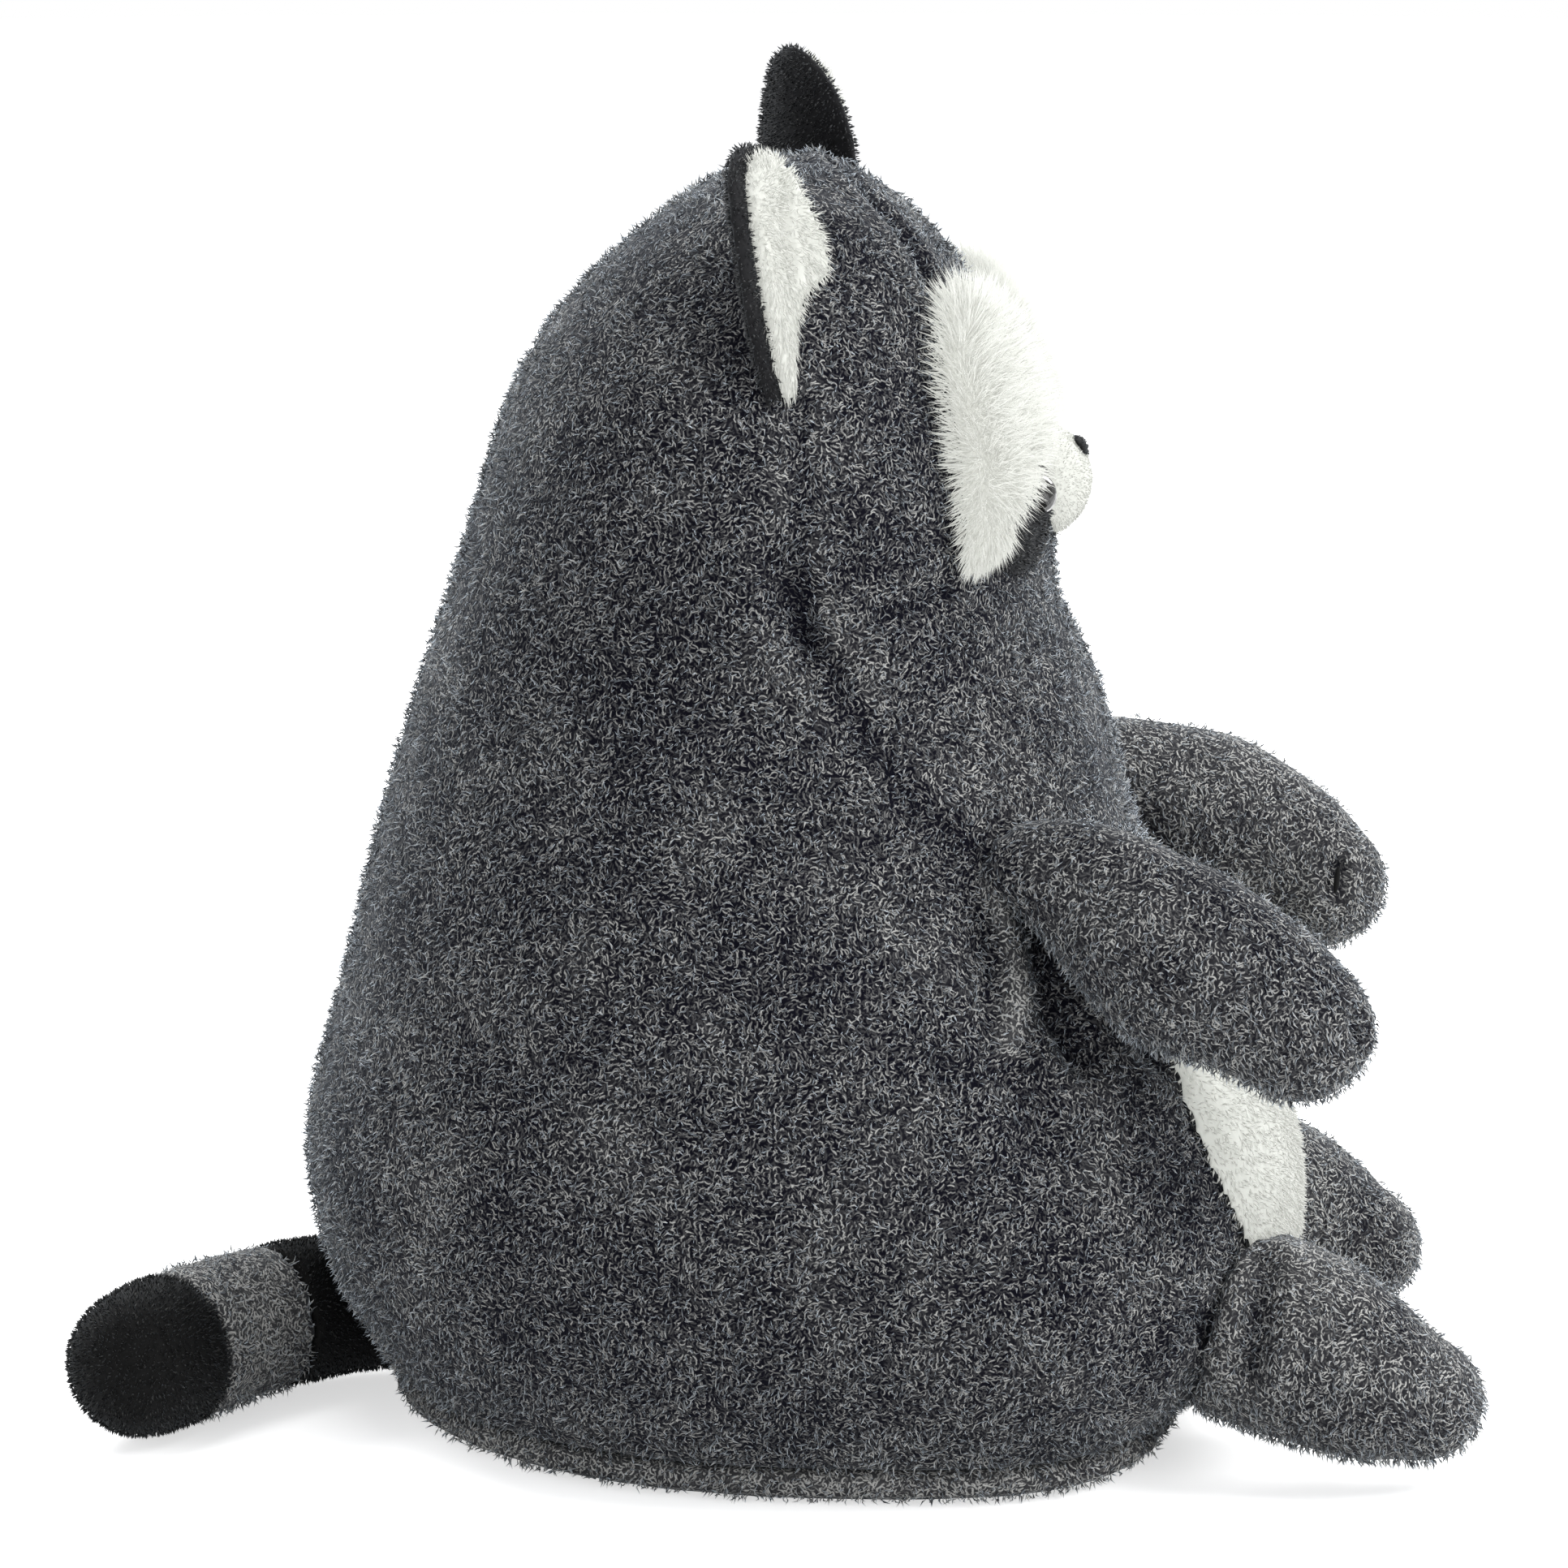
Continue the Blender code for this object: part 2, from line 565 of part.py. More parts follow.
def settle():
    """Slide everything so that the origin is under the middle of the toy's box."""
    bpy.context.view_layer.update()
    graph = bpy.context.evaluated_depsgraph_get()
    corners = []
    for piece in bpy.data.objects:
        if piece.type == "MESH" and not piece.hide_render:
            mesh = piece.evaluated_get(graph).to_mesh()
            corners += [piece.matrix_world @ vert.co for vert in mesh.vertices]
            piece.evaluated_get(graph).to_mesh_clear()
    low = [min(point[axis] for point in corners) for axis in range(3)]
    high = [max(point[axis] for point in corners) for axis in range(3)]
    shift = Vector((-(low[0] + high[0]) / 2.0, -(low[1] + high[1]) / 2.0, -low[2]))
    for piece in bpy.data.objects:
        piece.location += shift
    bpy.context.view_layer.update()
    return [b - a for a, b in zip(low, high)], shift


def main():
    for leftover in list(bpy.data.objects):
        bpy.data.objects.remove(leftover, do_unlink=True)
    body, tree = make_body()
    base = make_base()
    belly = make_patch("belly_panel", tree, 1, OVAL, BELLY_CENTRE, (BELLY_WIDTH, BELLY_HEIGHT), BELLY_PAD, WHITE)
    for side in (-1, 1):
        make_ear(side, body)
        make_arm(side, body)
        make_foot(side, body, belly)
    make_tail(body, base)
    make_face(tree, body)
    size, shift = settle()
    print("box", [round(value, 4) for value in size], "shift", [round(value, 5) for value in shift])


main()
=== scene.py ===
# %% [markdown]
# # Dressing a plush raccoon
# The packed solids already have the toy's true sizes. This lesson gives them what makes
# a plush toy look like one: skins that swell between their seams, and pile, which is
# thousands of tiny curls of fibre standing on each skin. The order is: camera and light,
# finishes, skins, stuffing, folds, and last the pile, because it grows on all of these.

# %% Load the solids
import json
import math

import bmesh
import bpy
import numpy as np
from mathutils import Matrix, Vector
from mathutils.bvhtree import BVHTree

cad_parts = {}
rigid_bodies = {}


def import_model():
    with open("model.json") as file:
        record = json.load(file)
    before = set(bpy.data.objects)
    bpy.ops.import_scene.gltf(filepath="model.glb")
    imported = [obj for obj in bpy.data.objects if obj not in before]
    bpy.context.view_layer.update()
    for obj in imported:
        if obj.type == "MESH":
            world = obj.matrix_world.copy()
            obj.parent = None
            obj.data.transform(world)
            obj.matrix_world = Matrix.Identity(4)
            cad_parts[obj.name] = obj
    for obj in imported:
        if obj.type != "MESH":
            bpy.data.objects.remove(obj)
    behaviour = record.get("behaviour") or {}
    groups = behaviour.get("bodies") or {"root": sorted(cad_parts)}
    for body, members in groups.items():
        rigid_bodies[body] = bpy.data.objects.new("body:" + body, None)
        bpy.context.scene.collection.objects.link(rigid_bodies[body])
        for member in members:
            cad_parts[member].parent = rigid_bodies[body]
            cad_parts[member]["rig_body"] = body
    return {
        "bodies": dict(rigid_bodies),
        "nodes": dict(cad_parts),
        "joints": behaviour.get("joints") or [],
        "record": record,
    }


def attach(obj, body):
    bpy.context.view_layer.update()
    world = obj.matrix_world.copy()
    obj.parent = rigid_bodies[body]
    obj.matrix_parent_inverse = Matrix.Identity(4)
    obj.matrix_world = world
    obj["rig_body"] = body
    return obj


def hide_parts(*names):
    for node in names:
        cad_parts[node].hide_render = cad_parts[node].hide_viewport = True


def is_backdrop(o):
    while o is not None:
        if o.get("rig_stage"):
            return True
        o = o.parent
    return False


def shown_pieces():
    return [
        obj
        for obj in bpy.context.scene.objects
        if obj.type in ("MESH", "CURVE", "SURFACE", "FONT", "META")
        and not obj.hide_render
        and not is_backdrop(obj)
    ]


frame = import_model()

for leftover in [o for o in bpy.data.objects if "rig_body" not in o and not o.name.startswith("body:")]:
    bpy.data.objects.remove(leftover)
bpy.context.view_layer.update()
MM = 0.001

# %% [markdown]
# ## Camera
# The photograph shows the toy's right side from a little behind and 12 degrees above level.
# A long lens from 1.6 m keeps the near and far limbs almost the same size, as they are there.

# %% Camera
VIEW_TURN, VIEW_RISE, VIEW_DISTANCE = math.radians(-86.0), math.radians(12.0), 1.60
LOOK_AT = Vector((0.0, 0.001, 0.1735))
PIXELS_PER_METRE, PICTURE = 4450.0, 1932.0
back = Vector((
    math.sin(VIEW_TURN) * math.cos(VIEW_RISE),
    -math.cos(VIEW_TURN) * math.cos(VIEW_RISE),
    math.sin(VIEW_RISE),
))
camera = bpy.data.objects.new("camera", bpy.data.cameras.new("camera"))
camera.data.sensor_width = 36.0
camera.data.lens = 36.0 * PIXELS_PER_METRE * VIEW_DISTANCE / PICTURE
camera.location = LOOK_AT + back * VIEW_DISTANCE
camera.rotation_euler = back.to_track_quat("Z", "Y").to_euler()
bpy.context.collection.objects.link(camera)
bpy.context.scene.camera = camera
bpy.context.scene.view_settings.view_transform = "Standard"
print("lens:", round(camera.data.lens, 1), "mm")

# %% [markdown]
# ## Studio
# White pile and dark pile both need soft light from all sides, or the fibres turn hard.
# A pale world gives half of it. The key lamp stands high in front of the toy, and a low one
# fills its chest and feet. Two lamps behind it and one overhead catch the fibre ends along
# the outline and on top of the arms. Two weak ones keep the back and the tail readable.
# The floor catches the toy's shadow. Only the camera sees the floor and the world as white:
# Light Path tells its rays from those that light the toy.

# %% Studio
def lamp(name, place, aim, size, power):
    """A large soft lamp that points at the toy."""
    light = bpy.data.lights.new(name, "AREA")
    light.shape, light.size, light.energy = "DISK", size, power
    holder = bpy.data.objects.new(name, light)
    holder.location = Vector(place)
    holder.rotation_euler = (Vector(place) - Vector(aim)).to_track_quat("Z", "Y").to_euler()
    bpy.context.collection.objects.link(holder)
    return holder


def backdrop_nodes(tree, shown, lit):
    """The camera sees one brightness and the toy is lit by another."""
    path = tree.nodes.new("ShaderNodeLightPath")
    seen = tree.nodes.new("ShaderNodeMath")
    seen.operation = "MAXIMUM"
    tree.links.new(path.outputs["Is Camera Ray"], seen.inputs[0])
    tree.links.new(path.outputs["Is Glossy Ray"], seen.inputs[1])
    mix = tree.nodes.new("ShaderNodeMixShader")
    tree.links.new(seen.outputs[0], mix.inputs[0])
    tree.links.new(lit.outputs[0], mix.inputs[1])
    tree.links.new(shown.outputs[0], mix.inputs[2])
    return mix


world = bpy.data.worlds.new("studio")
world.use_nodes = True
bpy.context.scene.world = world
sky = world.node_tree
sky.nodes.clear()
lit_sky, shown_sky = sky.nodes.new("ShaderNodeBackground"), sky.nodes.new("ShaderNodeBackground")
lit_sky.inputs["Color"].default_value = (0.95, 0.97, 1.0, 1.0)
lit_sky.inputs["Strength"].default_value = 0.52
shown_sky.inputs["Color"].default_value = (1.0, 1.0, 1.0, 1.0)
sky_out = sky.nodes.new("ShaderNodeOutputWorld")
sky.links.new(backdrop_nodes(sky, shown_sky, lit_sky).outputs[0], sky_out.inputs["Surface"])

lamp("key", (-0.7, -1.8, 2.2), (0.0, 0.0, 0.15), 1.1, 43.0)
lamp("front_low", (-0.9, -1.9, 0.40), (0.0, 0.0, 0.05), 0.7, 21.0)
lamp("side_low", (-1.7, 0.6, 0.40), (0.0, 0.0, 0.0), 0.7, 4.0)
lamp("back", (-0.9, 1.9, 0.9), (0.0, 0.1, 0.08), 1.0, 6.0)
lamp("far_front", (1.7, -0.9, 1.4), (0.0, 0.0, 0.2), 1.0, 44.0)
lamp("far_back", (1.5, 1.5, 1.5), (0.0, 0.0, 0.2), 1.0, 50.0)
lamp("top", (-0.2, 0.1, 2.6), (0.0, 0.0, 0.2), 1.4, 26.0)

bm = bmesh.new()
bmesh.ops.create_circle(bm, cap_ends=True, segments=96, radius=5.0)
floor_mesh = bpy.data.meshes.new("floor")
bm.to_mesh(floor_mesh)
bm.free()
floor = bpy.data.objects.new("floor", floor_mesh)
bpy.context.collection.objects.link(floor)
floor_paint = bpy.data.materials.new("pale_floor")
floor_paint.use_nodes = True
floor_tree = floor_paint.node_tree
floor_tree.nodes.clear()
matt, glow = floor_tree.nodes.new("ShaderNodeBsdfDiffuse"), floor_tree.nodes.new("ShaderNodeEmission")
matt.inputs["Color"].default_value = (0.80, 0.80, 0.80, 1.0)
glow.inputs["Color"].default_value = (0.60, 0.60, 0.60, 1.0)
bright = floor_tree.nodes.new("ShaderNodeAddShader")
floor_tree.links.new(matt.outputs[0], bright.inputs[0])
floor_tree.links.new(glow.outputs[0], bright.inputs[1])
floor_out = floor_tree.nodes.new("ShaderNodeOutputMaterial")
floor_tree.links.new(backdrop_nodes(floor_tree, bright, matt).outputs[0], floor_out.inputs["Surface"])
floor_mesh.materials.append(floor_paint)
floor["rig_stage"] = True

# %% [markdown]
# ## Pile finishes
# Each curl is darker at its root and paler at its tip, and no two curls have the same
# shade. Each curl carries two attributes, tip (0 at its root, 1 at its end) and shade (one
# random number for the whole curl), and the material reads both. Slow noise on the object's
# own coordinates adds darker and lighter patches.
# Sheen gives the pale rim that fibre ends catch at the outline.
#
# Every finish is a small sum of such things, so a helper with short names for the shader
# nodes keeps the recipes readable.

# %% Shader shorthand
class Graph:
    """Short names for the shader nodes that every finish is built from."""

    def __init__(self, name):
        self.material = bpy.data.materials.new(name)
        self.material.use_nodes = True
        self.nodes, self.links = self.material.node_tree.nodes, self.material.node_tree.links
        self.shader = self.nodes["Principled BSDF"]
        self.place = self.nodes.new("ShaderNodeTexCoord").outputs["Object"]

    def put(self, socket, value):
        if isinstance(value, bpy.types.NodeSocket):
            self.links.new(value, socket)
        else:
            socket.default_value = value

    def math(self, operation, *values):
        node = self.nodes.new("ShaderNodeMath")
        node.operation = operation
        for socket, value in zip(node.inputs, values):
            self.put(socket, value)
        return node.outputs[0]

    def vector(self, operation, *values, out="Vector"):
        node = self.nodes.new("ShaderNodeVectorMath")
        node.operation = operation
        if operation == "SCALE":
            self.put(node.inputs[0], values[0])
            self.put(node.inputs["Scale"], values[1])
        else:
            for socket, value in zip(node.inputs, values):
                self.put(socket, value)
        return node.outputs[out]

    def noise(self, scale, detail=1.0, out="Fac"):
        node = self.nodes.new("ShaderNodeTexNoise")
        node.inputs["Scale"].default_value = scale
        node.inputs["Detail"].default_value = detail
        self.put(node.inputs["Vector"], self.place)
        return node.outputs[out]

    def attribute(self, label):
        node = self.nodes.new("ShaderNodeAttribute")
        node.attribute_name = label
        return node.outputs["Fac"]

    def fade(self, value, near, far):
        """1 at near, 0 at far, eased in between."""
        node = self.nodes.new("ShaderNodeMapRange")
        node.interpolation_type = "SMOOTHSTEP"
        self.put(node.inputs["Value"], value)
        node.inputs["From Min"].default_value, node.inputs["From Max"].default_value = near, far
        node.inputs["To Min"].default_value, node.inputs["To Max"].default_value = 1.0, 0.0
        return node.outputs[0]

    def total(self, *pairs, start=0.0):
        """A sum of sockets, each with its weight."""
        for value, weight in pairs:
            start = self.math("MULTIPLY_ADD", value, weight, start)
        return start


print("shorthand:", [name for name in vars(Graph) if not name.startswith("_")])

# %% [markdown]
# ## Painted curls
# The real cloth has far more curls than a mesh can hold. The ones that stand out are real
# mesh, and the skin between them is painted with more: one bent stroke in every cell of a
# Voronoi pattern. Each stroke is pale along its middle and fades into the near-black skin
# around it, so this paints light on the curls and shade in the gaps between them as well as
# the curls themselves. A stroke needs a plane to lie in and a heading. The
# plane comes from the skin's normal, so the strokes aren't squashed where the cloth turns
# away, and the heading from a slow noise, so that neighbours swirl together like real nap.

# %% Painted curls
SWIRLS_PER_METRE = 145.0


def painted_curls_and_shade(graph, per_metre, shift, width=0.26, bend=2.6, half=0.85):
    """One bent stroke in every cell of a Voronoi pattern, each with its own shade.

    The strokes lie in the skin's own plane and share their heading with their neighbours.
    Each is pale along its middle and fades out at its edges: painted light on the curl, with
    painted shade left between curls.
    """
    normal = graph.nodes.new("ShaderNodeNewGeometry").outputs["Normal"]
    where = graph.vector("ADD", graph.vector("SCALE", graph.place, per_metre), (shift, shift * 1.7, shift * 0.6))
    cell = graph.nodes.new("ShaderNodeTexVoronoi")
    cell.inputs["Scale"].default_value = 1.0
    graph.put(cell.inputs["Vector"], where)
    luck = graph.nodes.new("ShaderNodeSeparateColor")
    graph.links.new(cell.outputs["Color"], luck.inputs[0])
    eddies = graph.vector("SUBTRACT", graph.noise(SWIRLS_PER_METRE, 1.0, "Color"), (0.5, 0.5, 0.5))
    stray = graph.vector("SUBTRACT", cell.outputs["Color"], (0.5, 0.5, 0.5))
    heading = graph.vector("ADD", stray, graph.vector("SCALE", eddies, 4.5))
    across = graph.vector("NORMALIZE", graph.vector("CROSS_PRODUCT", normal, heading))
    along = graph.vector("CROSS_PRODUCT", across, normal)
    local = graph.vector("SUBTRACT", where, cell.outputs["Position"])
    run = graph.vector("DOT_PRODUCT", local, along, out="Value")
    off = graph.vector("DOT_PRODUCT", local, across, out="Value")
    curve = graph.math("MULTIPLY", graph.math("SUBTRACT", luck.outputs[0], 0.5), bend)
    bow = graph.math("MULTIPLY", curve, graph.math("MULTIPLY", run, run))
    # Pale along the stroke's middle, dark at its edges: painted light on the curl and painted shade between curls.
    body = graph.fade(graph.math("ABSOLUTE", graph.math("ADD", off, bow)), 0.0, width)
    ends = graph.fade(graph.math("ABSOLUTE", run), half * 0.5, half)
    bright = graph.math("MULTIPLY_ADD", luck.outputs[1], 0.85, 0.15)
    return graph.math("MULTIPLY", graph.math("MULTIPLY", body, ends), bright)


print("a swirl of painted curls is about", round(1000.0 / SWIRLS_PER_METRE), "mm wide")

# %% [markdown]
# ## The toy's finishes
# One recipe makes them all. It adds up patches, fine noise, the curls and the attribute that
# folds and combing set, which paints shade into folds and light beside them, on ridges and on
# whole skins that the lamps leave too dark. A colour ramp turns the sum into dark, middle and pale.
# White pile is also given painted light: it glows with its own colour, standing in for light
# that enters white fibres and comes out again all over the pile, and that keeps the gaps
# between them from turning gray.

# %% Finishes
def pile_finish(name, colours, tip=0.4, shade=0.3, patch=0.4, fine=0.2, start=0.0, painted=0.0, sheen=0.3,
                tint=(0.80, 0.90, 1.0), glow=0.0, bump=0.4, grain=900.0, roughness=0.8, gloss=0.1):
    """A procedural pile material that runs from dark to light through three colours."""
    graph = Graph(name)
    shader = graph.shader
    # One attribute paints shade into folds and light on ridges and on skins that the lamps leave too dark.
    mottle = [(graph.noise(38.0, 3.0), patch), (graph.noise(grain * 0.45), fine), (graph.attribute("lay"), 0.16)]
    if painted:
        curls = graph.math("MAXIMUM", painted_curls_and_shade(graph, 570.0, 0.0), painted_curls_and_shade(graph, 670.0, 3.3))
        mottle.append((curls, painted))
    else:
        mottle += [(graph.attribute("tip"), tip), (graph.attribute("shade"), shade)]
    tone = graph.total(*mottle, start=start - (patch + fine) * 0.5)
    ramp = graph.nodes.new("ShaderNodeValToRGB")
    ramp.color_ramp.elements[0].color = (*colours[0], 1.0)
    ramp.color_ramp.elements[1].color = (*colours[2], 1.0)
    ramp.color_ramp.elements.new(0.5).color = (*colours[1], 1.0)
    graph.links.new(tone, ramp.inputs["Fac"])
    graph.links.new(ramp.outputs["Color"], shader.inputs["Base Color"])
    graph.links.new(graph.total((graph.noise(grain * 0.2), 0.2), start=roughness - 0.1), shader.inputs["Roughness"])
    shader.inputs["Sheen Weight"].default_value = sheen
    shader.inputs["Sheen Roughness"].default_value = 0.4
    shader.inputs["Sheen Tint"].default_value = (*tint, 1.0)
    shader.inputs["Specular IOR Level"].default_value = gloss
    # Painted light: a white finish glows with its own colour, in place of light scattered through the pile.
    if glow:
        graph.links.new(ramp.outputs["Color"], shader.inputs["Emission Color"])
        shader.inputs["Emission Strength"].default_value = glow
    relief = graph.nodes.new("ShaderNodeBump")
    relief.inputs["Strength"].default_value = bump
    relief.inputs["Distance"].default_value = 0.6 * MM
    graph.links.new(graph.total((graph.noise(grain), 0.5), (graph.noise(grain * 0.4), 0.8)), relief.inputs["Height"])
    graph.links.new(relief.outputs["Normal"], shader.inputs["Normal"])
    return graph.material


# The darkest gray is near black: on the gray skin it is painted shade in the gaps between painted curls.
GRAYS = ((0.003, 0.003, 0.006), (0.060, 0.060, 0.062), (0.390, 0.388, 0.372))
DARKS = ((0.010, 0.010, 0.011), (0.034, 0.034, 0.034), (0.12, 0.12, 0.12))
BLACKS = ((0.004, 0.004, 0.004), (0.012, 0.012, 0.011), (0.090, 0.090, 0.085))
WHITES = ((0.275, 0.282, 0.262), (0.305, 0.308, 0.288), (0.32, 0.328, 0.31))
PALES = ((0.34, 0.345, 0.32), (0.375, 0.38, 0.355), (0.40, 0.405, 0.38))
SNOWS = ((0.365, 0.37, 0.345), (0.39, 0.395, 0.37), (0.405, 0.41, 0.385))
CREAM = (1.0, 1.0, 0.97)
GRAY_PILE = pile_finish("gray_pile", GRAYS, 0.30, 0.85, 0.60, 0.15, start=-0.09, sheen=0.9, bump=0.2)
GRAY_SKIN = pile_finish("gray_skin", GRAYS, patch=0.52, fine=0.25, start=0.0, painted=0.95, sheen=0.10, gloss=0.02)
DARK_PILE = pile_finish("dark_pile", DARKS, 0.25, 0.6, 0.3, 0.2, start=0.05, sheen=0.1)
BLACK_PILE = pile_finish("black_pile", BLACKS, 0.15, 0.6, 0.3, 0.2, start=0.0, sheen=0.08)
# The white finishes glow with painted light that keeps the gaps in their pile from turning gray.
WHITE_PILE = pile_finish("white_pile", WHITES, 0.4, 0.3, 0.2, 0.2, start=0.15, tint=CREAM, glow=0.98, bump=0.15)
LINING_PILE = pile_finish("lining_pile", PALES, 0.4, 0.3, 0.2, 0.2, start=0.15, tint=CREAM, glow=0.90, bump=0.15)
LONG_PILE = pile_finish("long_pile", SNOWS, 0.5, 0.2, 0.2, 0.1, start=0.2, tint=CREAM, glow=1.14, bump=0.15)
print("finishes:", [m.name for m in bpy.data.materials if m.name.endswith(("_pile", "_skin"))])

# %% [markdown]
# ## From solid to skin
# A packed solid is a shell of loose triangles. Merged and remeshed it becomes an even
# skin, fine enough to take soft creases, and a little smoothing rounds off its facets.

# %% Skins
def add(name, mesh, node=None):
    """Link a finished mesh and let it ride on the toy."""
    piece = bpy.data.objects.new(name, mesh)
    bpy.context.collection.objects.link(piece)
    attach(piece, "root")
    return piece


def finished_mesh(piece):
    """The mesh that a piece's modifiers make."""
    graph = bpy.context.evaluated_depsgraph_get()
    return bpy.data.meshes.new_from_object(piece.evaluated_get(graph), depsgraph=graph)


def bake_modifiers(piece):
    mesh = finished_mesh(piece)
    piece.modifiers.clear()
    old, piece.data = piece.data, mesh
    bpy.data.meshes.remove(old)


def make_skin(node, finish, voxel, rounds=3):
    """An even, smooth skin that stands for a packed solid."""
    bm = bmesh.new()
    bm.from_mesh(frame["nodes"][node].data)
    bmesh.ops.remove_doubles(bm, verts=bm.verts, dist=0.01 * MM)
    mesh = bpy.data.meshes.new(node + "_skin")
    bm.to_mesh(mesh)
    bm.free()
    skin = add(node + "_skin", mesh)
    remesh = skin.modifiers.new("even", "REMESH")
    remesh.mode, remesh.voxel_size = "VOXEL", voxel
    soften = skin.modifiers.new("soften", "SMOOTH")
    soften.factor, soften.iterations = 0.5, rounds
    bake_modifiers(skin)
    skin.data.materials.clear()
    skin.data.materials.append(finish)
    skin.data.shade_smooth()
    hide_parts(node)
    return skin


SKIN_PLAN = (
    # solid, slot, finish, voxel in mm, smoothing rounds, fill
    ("body", "gray_plush", GRAY_SKIN, 3.0, 4, 0.8),
    ("base_panel", "gray_plush", GRAY_SKIN, 4.5, 1, 0.5),
    ("belly_panel", "white_plush", WHITE_PILE, 1.9, 3, 0.5),
    ("arm_right", "gray_plush", GRAY_SKIN, 3.0, 4, 0.6),
    ("arm_left", "gray_plush", GRAY_SKIN, 3.0, 4, 0.6),
    ("foot_right", "gray_plush", GRAY_SKIN, 3.0, 4, 0.6),
    ("foot_left", "gray_plush", GRAY_SKIN, 3.0, 4, 0.6),
    ("tail_base_band", "black_velour", BLACK_PILE, 2.2, 2, 0.7),
    ("tail_middle_band", "gray_plush", GRAY_SKIN, 2.2, 2, 0.7),
    ("tail_tip", "black_velour", BLACK_PILE, 2.2, 2, 0.7),
    ("ear_back_right", "dark_velour", DARK_PILE, 1.3, 2, 0.3),
    ("ear_back_left", "dark_velour", DARK_PILE, 1.3, 2, 0.3),
    ("ear_lining_right", "white_plush", LINING_PILE, 1.0, 1, 0.3),
    ("ear_lining_left", "white_plush", LINING_PILE, 1.0, 1, 0.3),
    ("brow_patch_right", "white_long_pile", LONG_PILE, 1.8, 3, 0.5),
    ("brow_patch_left", "white_long_pile", LONG_PILE, 1.8, 3, 0.5),
    ("mask_patch_right", "dark_velour", DARK_PILE, 0.9, 1, 0.3),
    ("mask_patch_left", "dark_velour", DARK_PILE, 0.9, 1, 0.3),
    ("muzzle", "white_plush", LINING_PILE, 1.2, 2, 0.8),
    ("nose", "black_velour", BLACK_PILE, 0.7, 1, 0.8),
)
skins = {}
for node, slot, finish, voxel, rounds, fill in SKIN_PLAN:
    skins[node] = make_skin(node, finish, voxel * MM, rounds)
print("skins:", len(skins), "faces:", sum(len(s.data.polygons) for s in skins.values()))

# %% [markdown]
# ## Stuffing
# Skins of a stuffed toy are tight where the filling pushes and slack where they are sewn.
# Each large skin is made a little too small, then blown up as cloth under pressure, and
# held wherever a neighbour is sewn to it. A thin limb needs more pressure than the body for
# the same swelling, as a thin tube does. No point may move more than 2 mm. The linings are
# thin pads that puff out of their ear cups, so they are only moved along their normals.

# %% Stuffing
def numbers(items, label):
    """One vector for each vertex, as rows of an array."""
    flat = np.empty(len(items) * 3, np.float32)
    items.foreach_get(label, flat)
    return flat.reshape(-1, 3)


def move_to(mesh, place):
    mesh.vertices.foreach_set("co", np.ascontiguousarray(place, np.float32).ravel())
    mesh.update()


def skin_tree(node):
    bm = bmesh.new()
    bm.from_mesh(skins[node].data)
    tree = BVHTree.FromBMesh(bm)
    bm.free()
    return tree


def uncovered(node, reach=2.5 * MM):
    """1 where a skin is open to the air and 0 where a neighbour lies on it."""
    mesh = skins[node].data
    others = [tree for other, tree in trees.items() if other != node]
    open_share = np.ones(len(mesh.vertices))
    for vert in mesh.vertices:
        start = vert.co - vert.normal * 0.4 * MM
        if any(tree.ray_cast(start, vert.normal, reach)[0] is not None for tree in others):
            open_share[vert.index] = 0.0
    return open_share


def stuff(node, held, pressure, shrink=0.7 * MM, cap=2.0 * MM, frames=20):
    """Blow a skin up like a cushion. It stays put where held is 1."""
    skin = skins[node]
    loose = 1.0 - held
    place = numbers(skin.data.vertices, "co")
    start = place - numbers(skin.data.vertex_normals, "vector") * (shrink * loose)[:, None]
    move_to(skin.data, start)
    group = skin.vertex_groups.new(name="held")
    for index in np.flatnonzero(held > 0.0):
        group.add([int(index)], float(held[index]), "REPLACE")
    cloth = skin.modifiers.new("stuffing", "CLOTH")
    cloth.settings.vertex_group_mass = "held"
    cloth.settings.quality = 3
    cloth.settings.mass = 0.004
    cloth.settings.tension_stiffness = cloth.settings.compression_stiffness = 2.0
    cloth.settings.bending_stiffness = 0.05
    cloth.settings.use_pressure = True
    cloth.settings.uniform_pressure_force = pressure
    cloth.settings.effector_weights.gravity = 0.0
    cloth.collision_settings.use_collision = False
    cloth.point_cache.frame_start, cloth.point_cache.frame_end = 1, frames
    for frame in range(1, frames + 1):
        bpy.context.scene.frame_set(frame)
    blown = finished_mesh(skin)
    move = numbers(blown.vertices, "co") - start
    reach = np.linalg.norm(move, axis=1)
    move *= np.minimum(1.0, cap / np.maximum(reach, 1e-9))[:, None]
    bpy.data.meshes.remove(blown)
    skin.modifiers.clear()
    skin.vertex_groups.clear()
    bpy.context.scene.frame_set(1)
    move_to(skin.data, start + move)
    print(f"{node:12s} swelled by {1000 * np.median(reach):.1f} mm, at most {1000 * reach.max():.1f} mm")


LIMB_PRESSURE = {node: 300.0 for node in ("arm_right", "arm_left", "foot_right", "foot_left")}
for node in ("ear_lining_right", "ear_lining_left"):
    mesh = skins[node].data
    move_to(mesh, numbers(mesh.vertices, "co") + numbers(mesh.vertex_normals, "vector") * 1.5 * MM)
trees = {node: skin_tree(node) for node in skins}
for node, pressure in {"body": 60.0, **LIMB_PRESSURE}.items():
    held = 1.0 - uncovered(node, 3.5 * MM)
    if node == "body":
        held[numbers(skins[node].data.vertices, "co")[:, 2] < 14.0 * MM] = 1.0
    stuff(node, held, pressure)

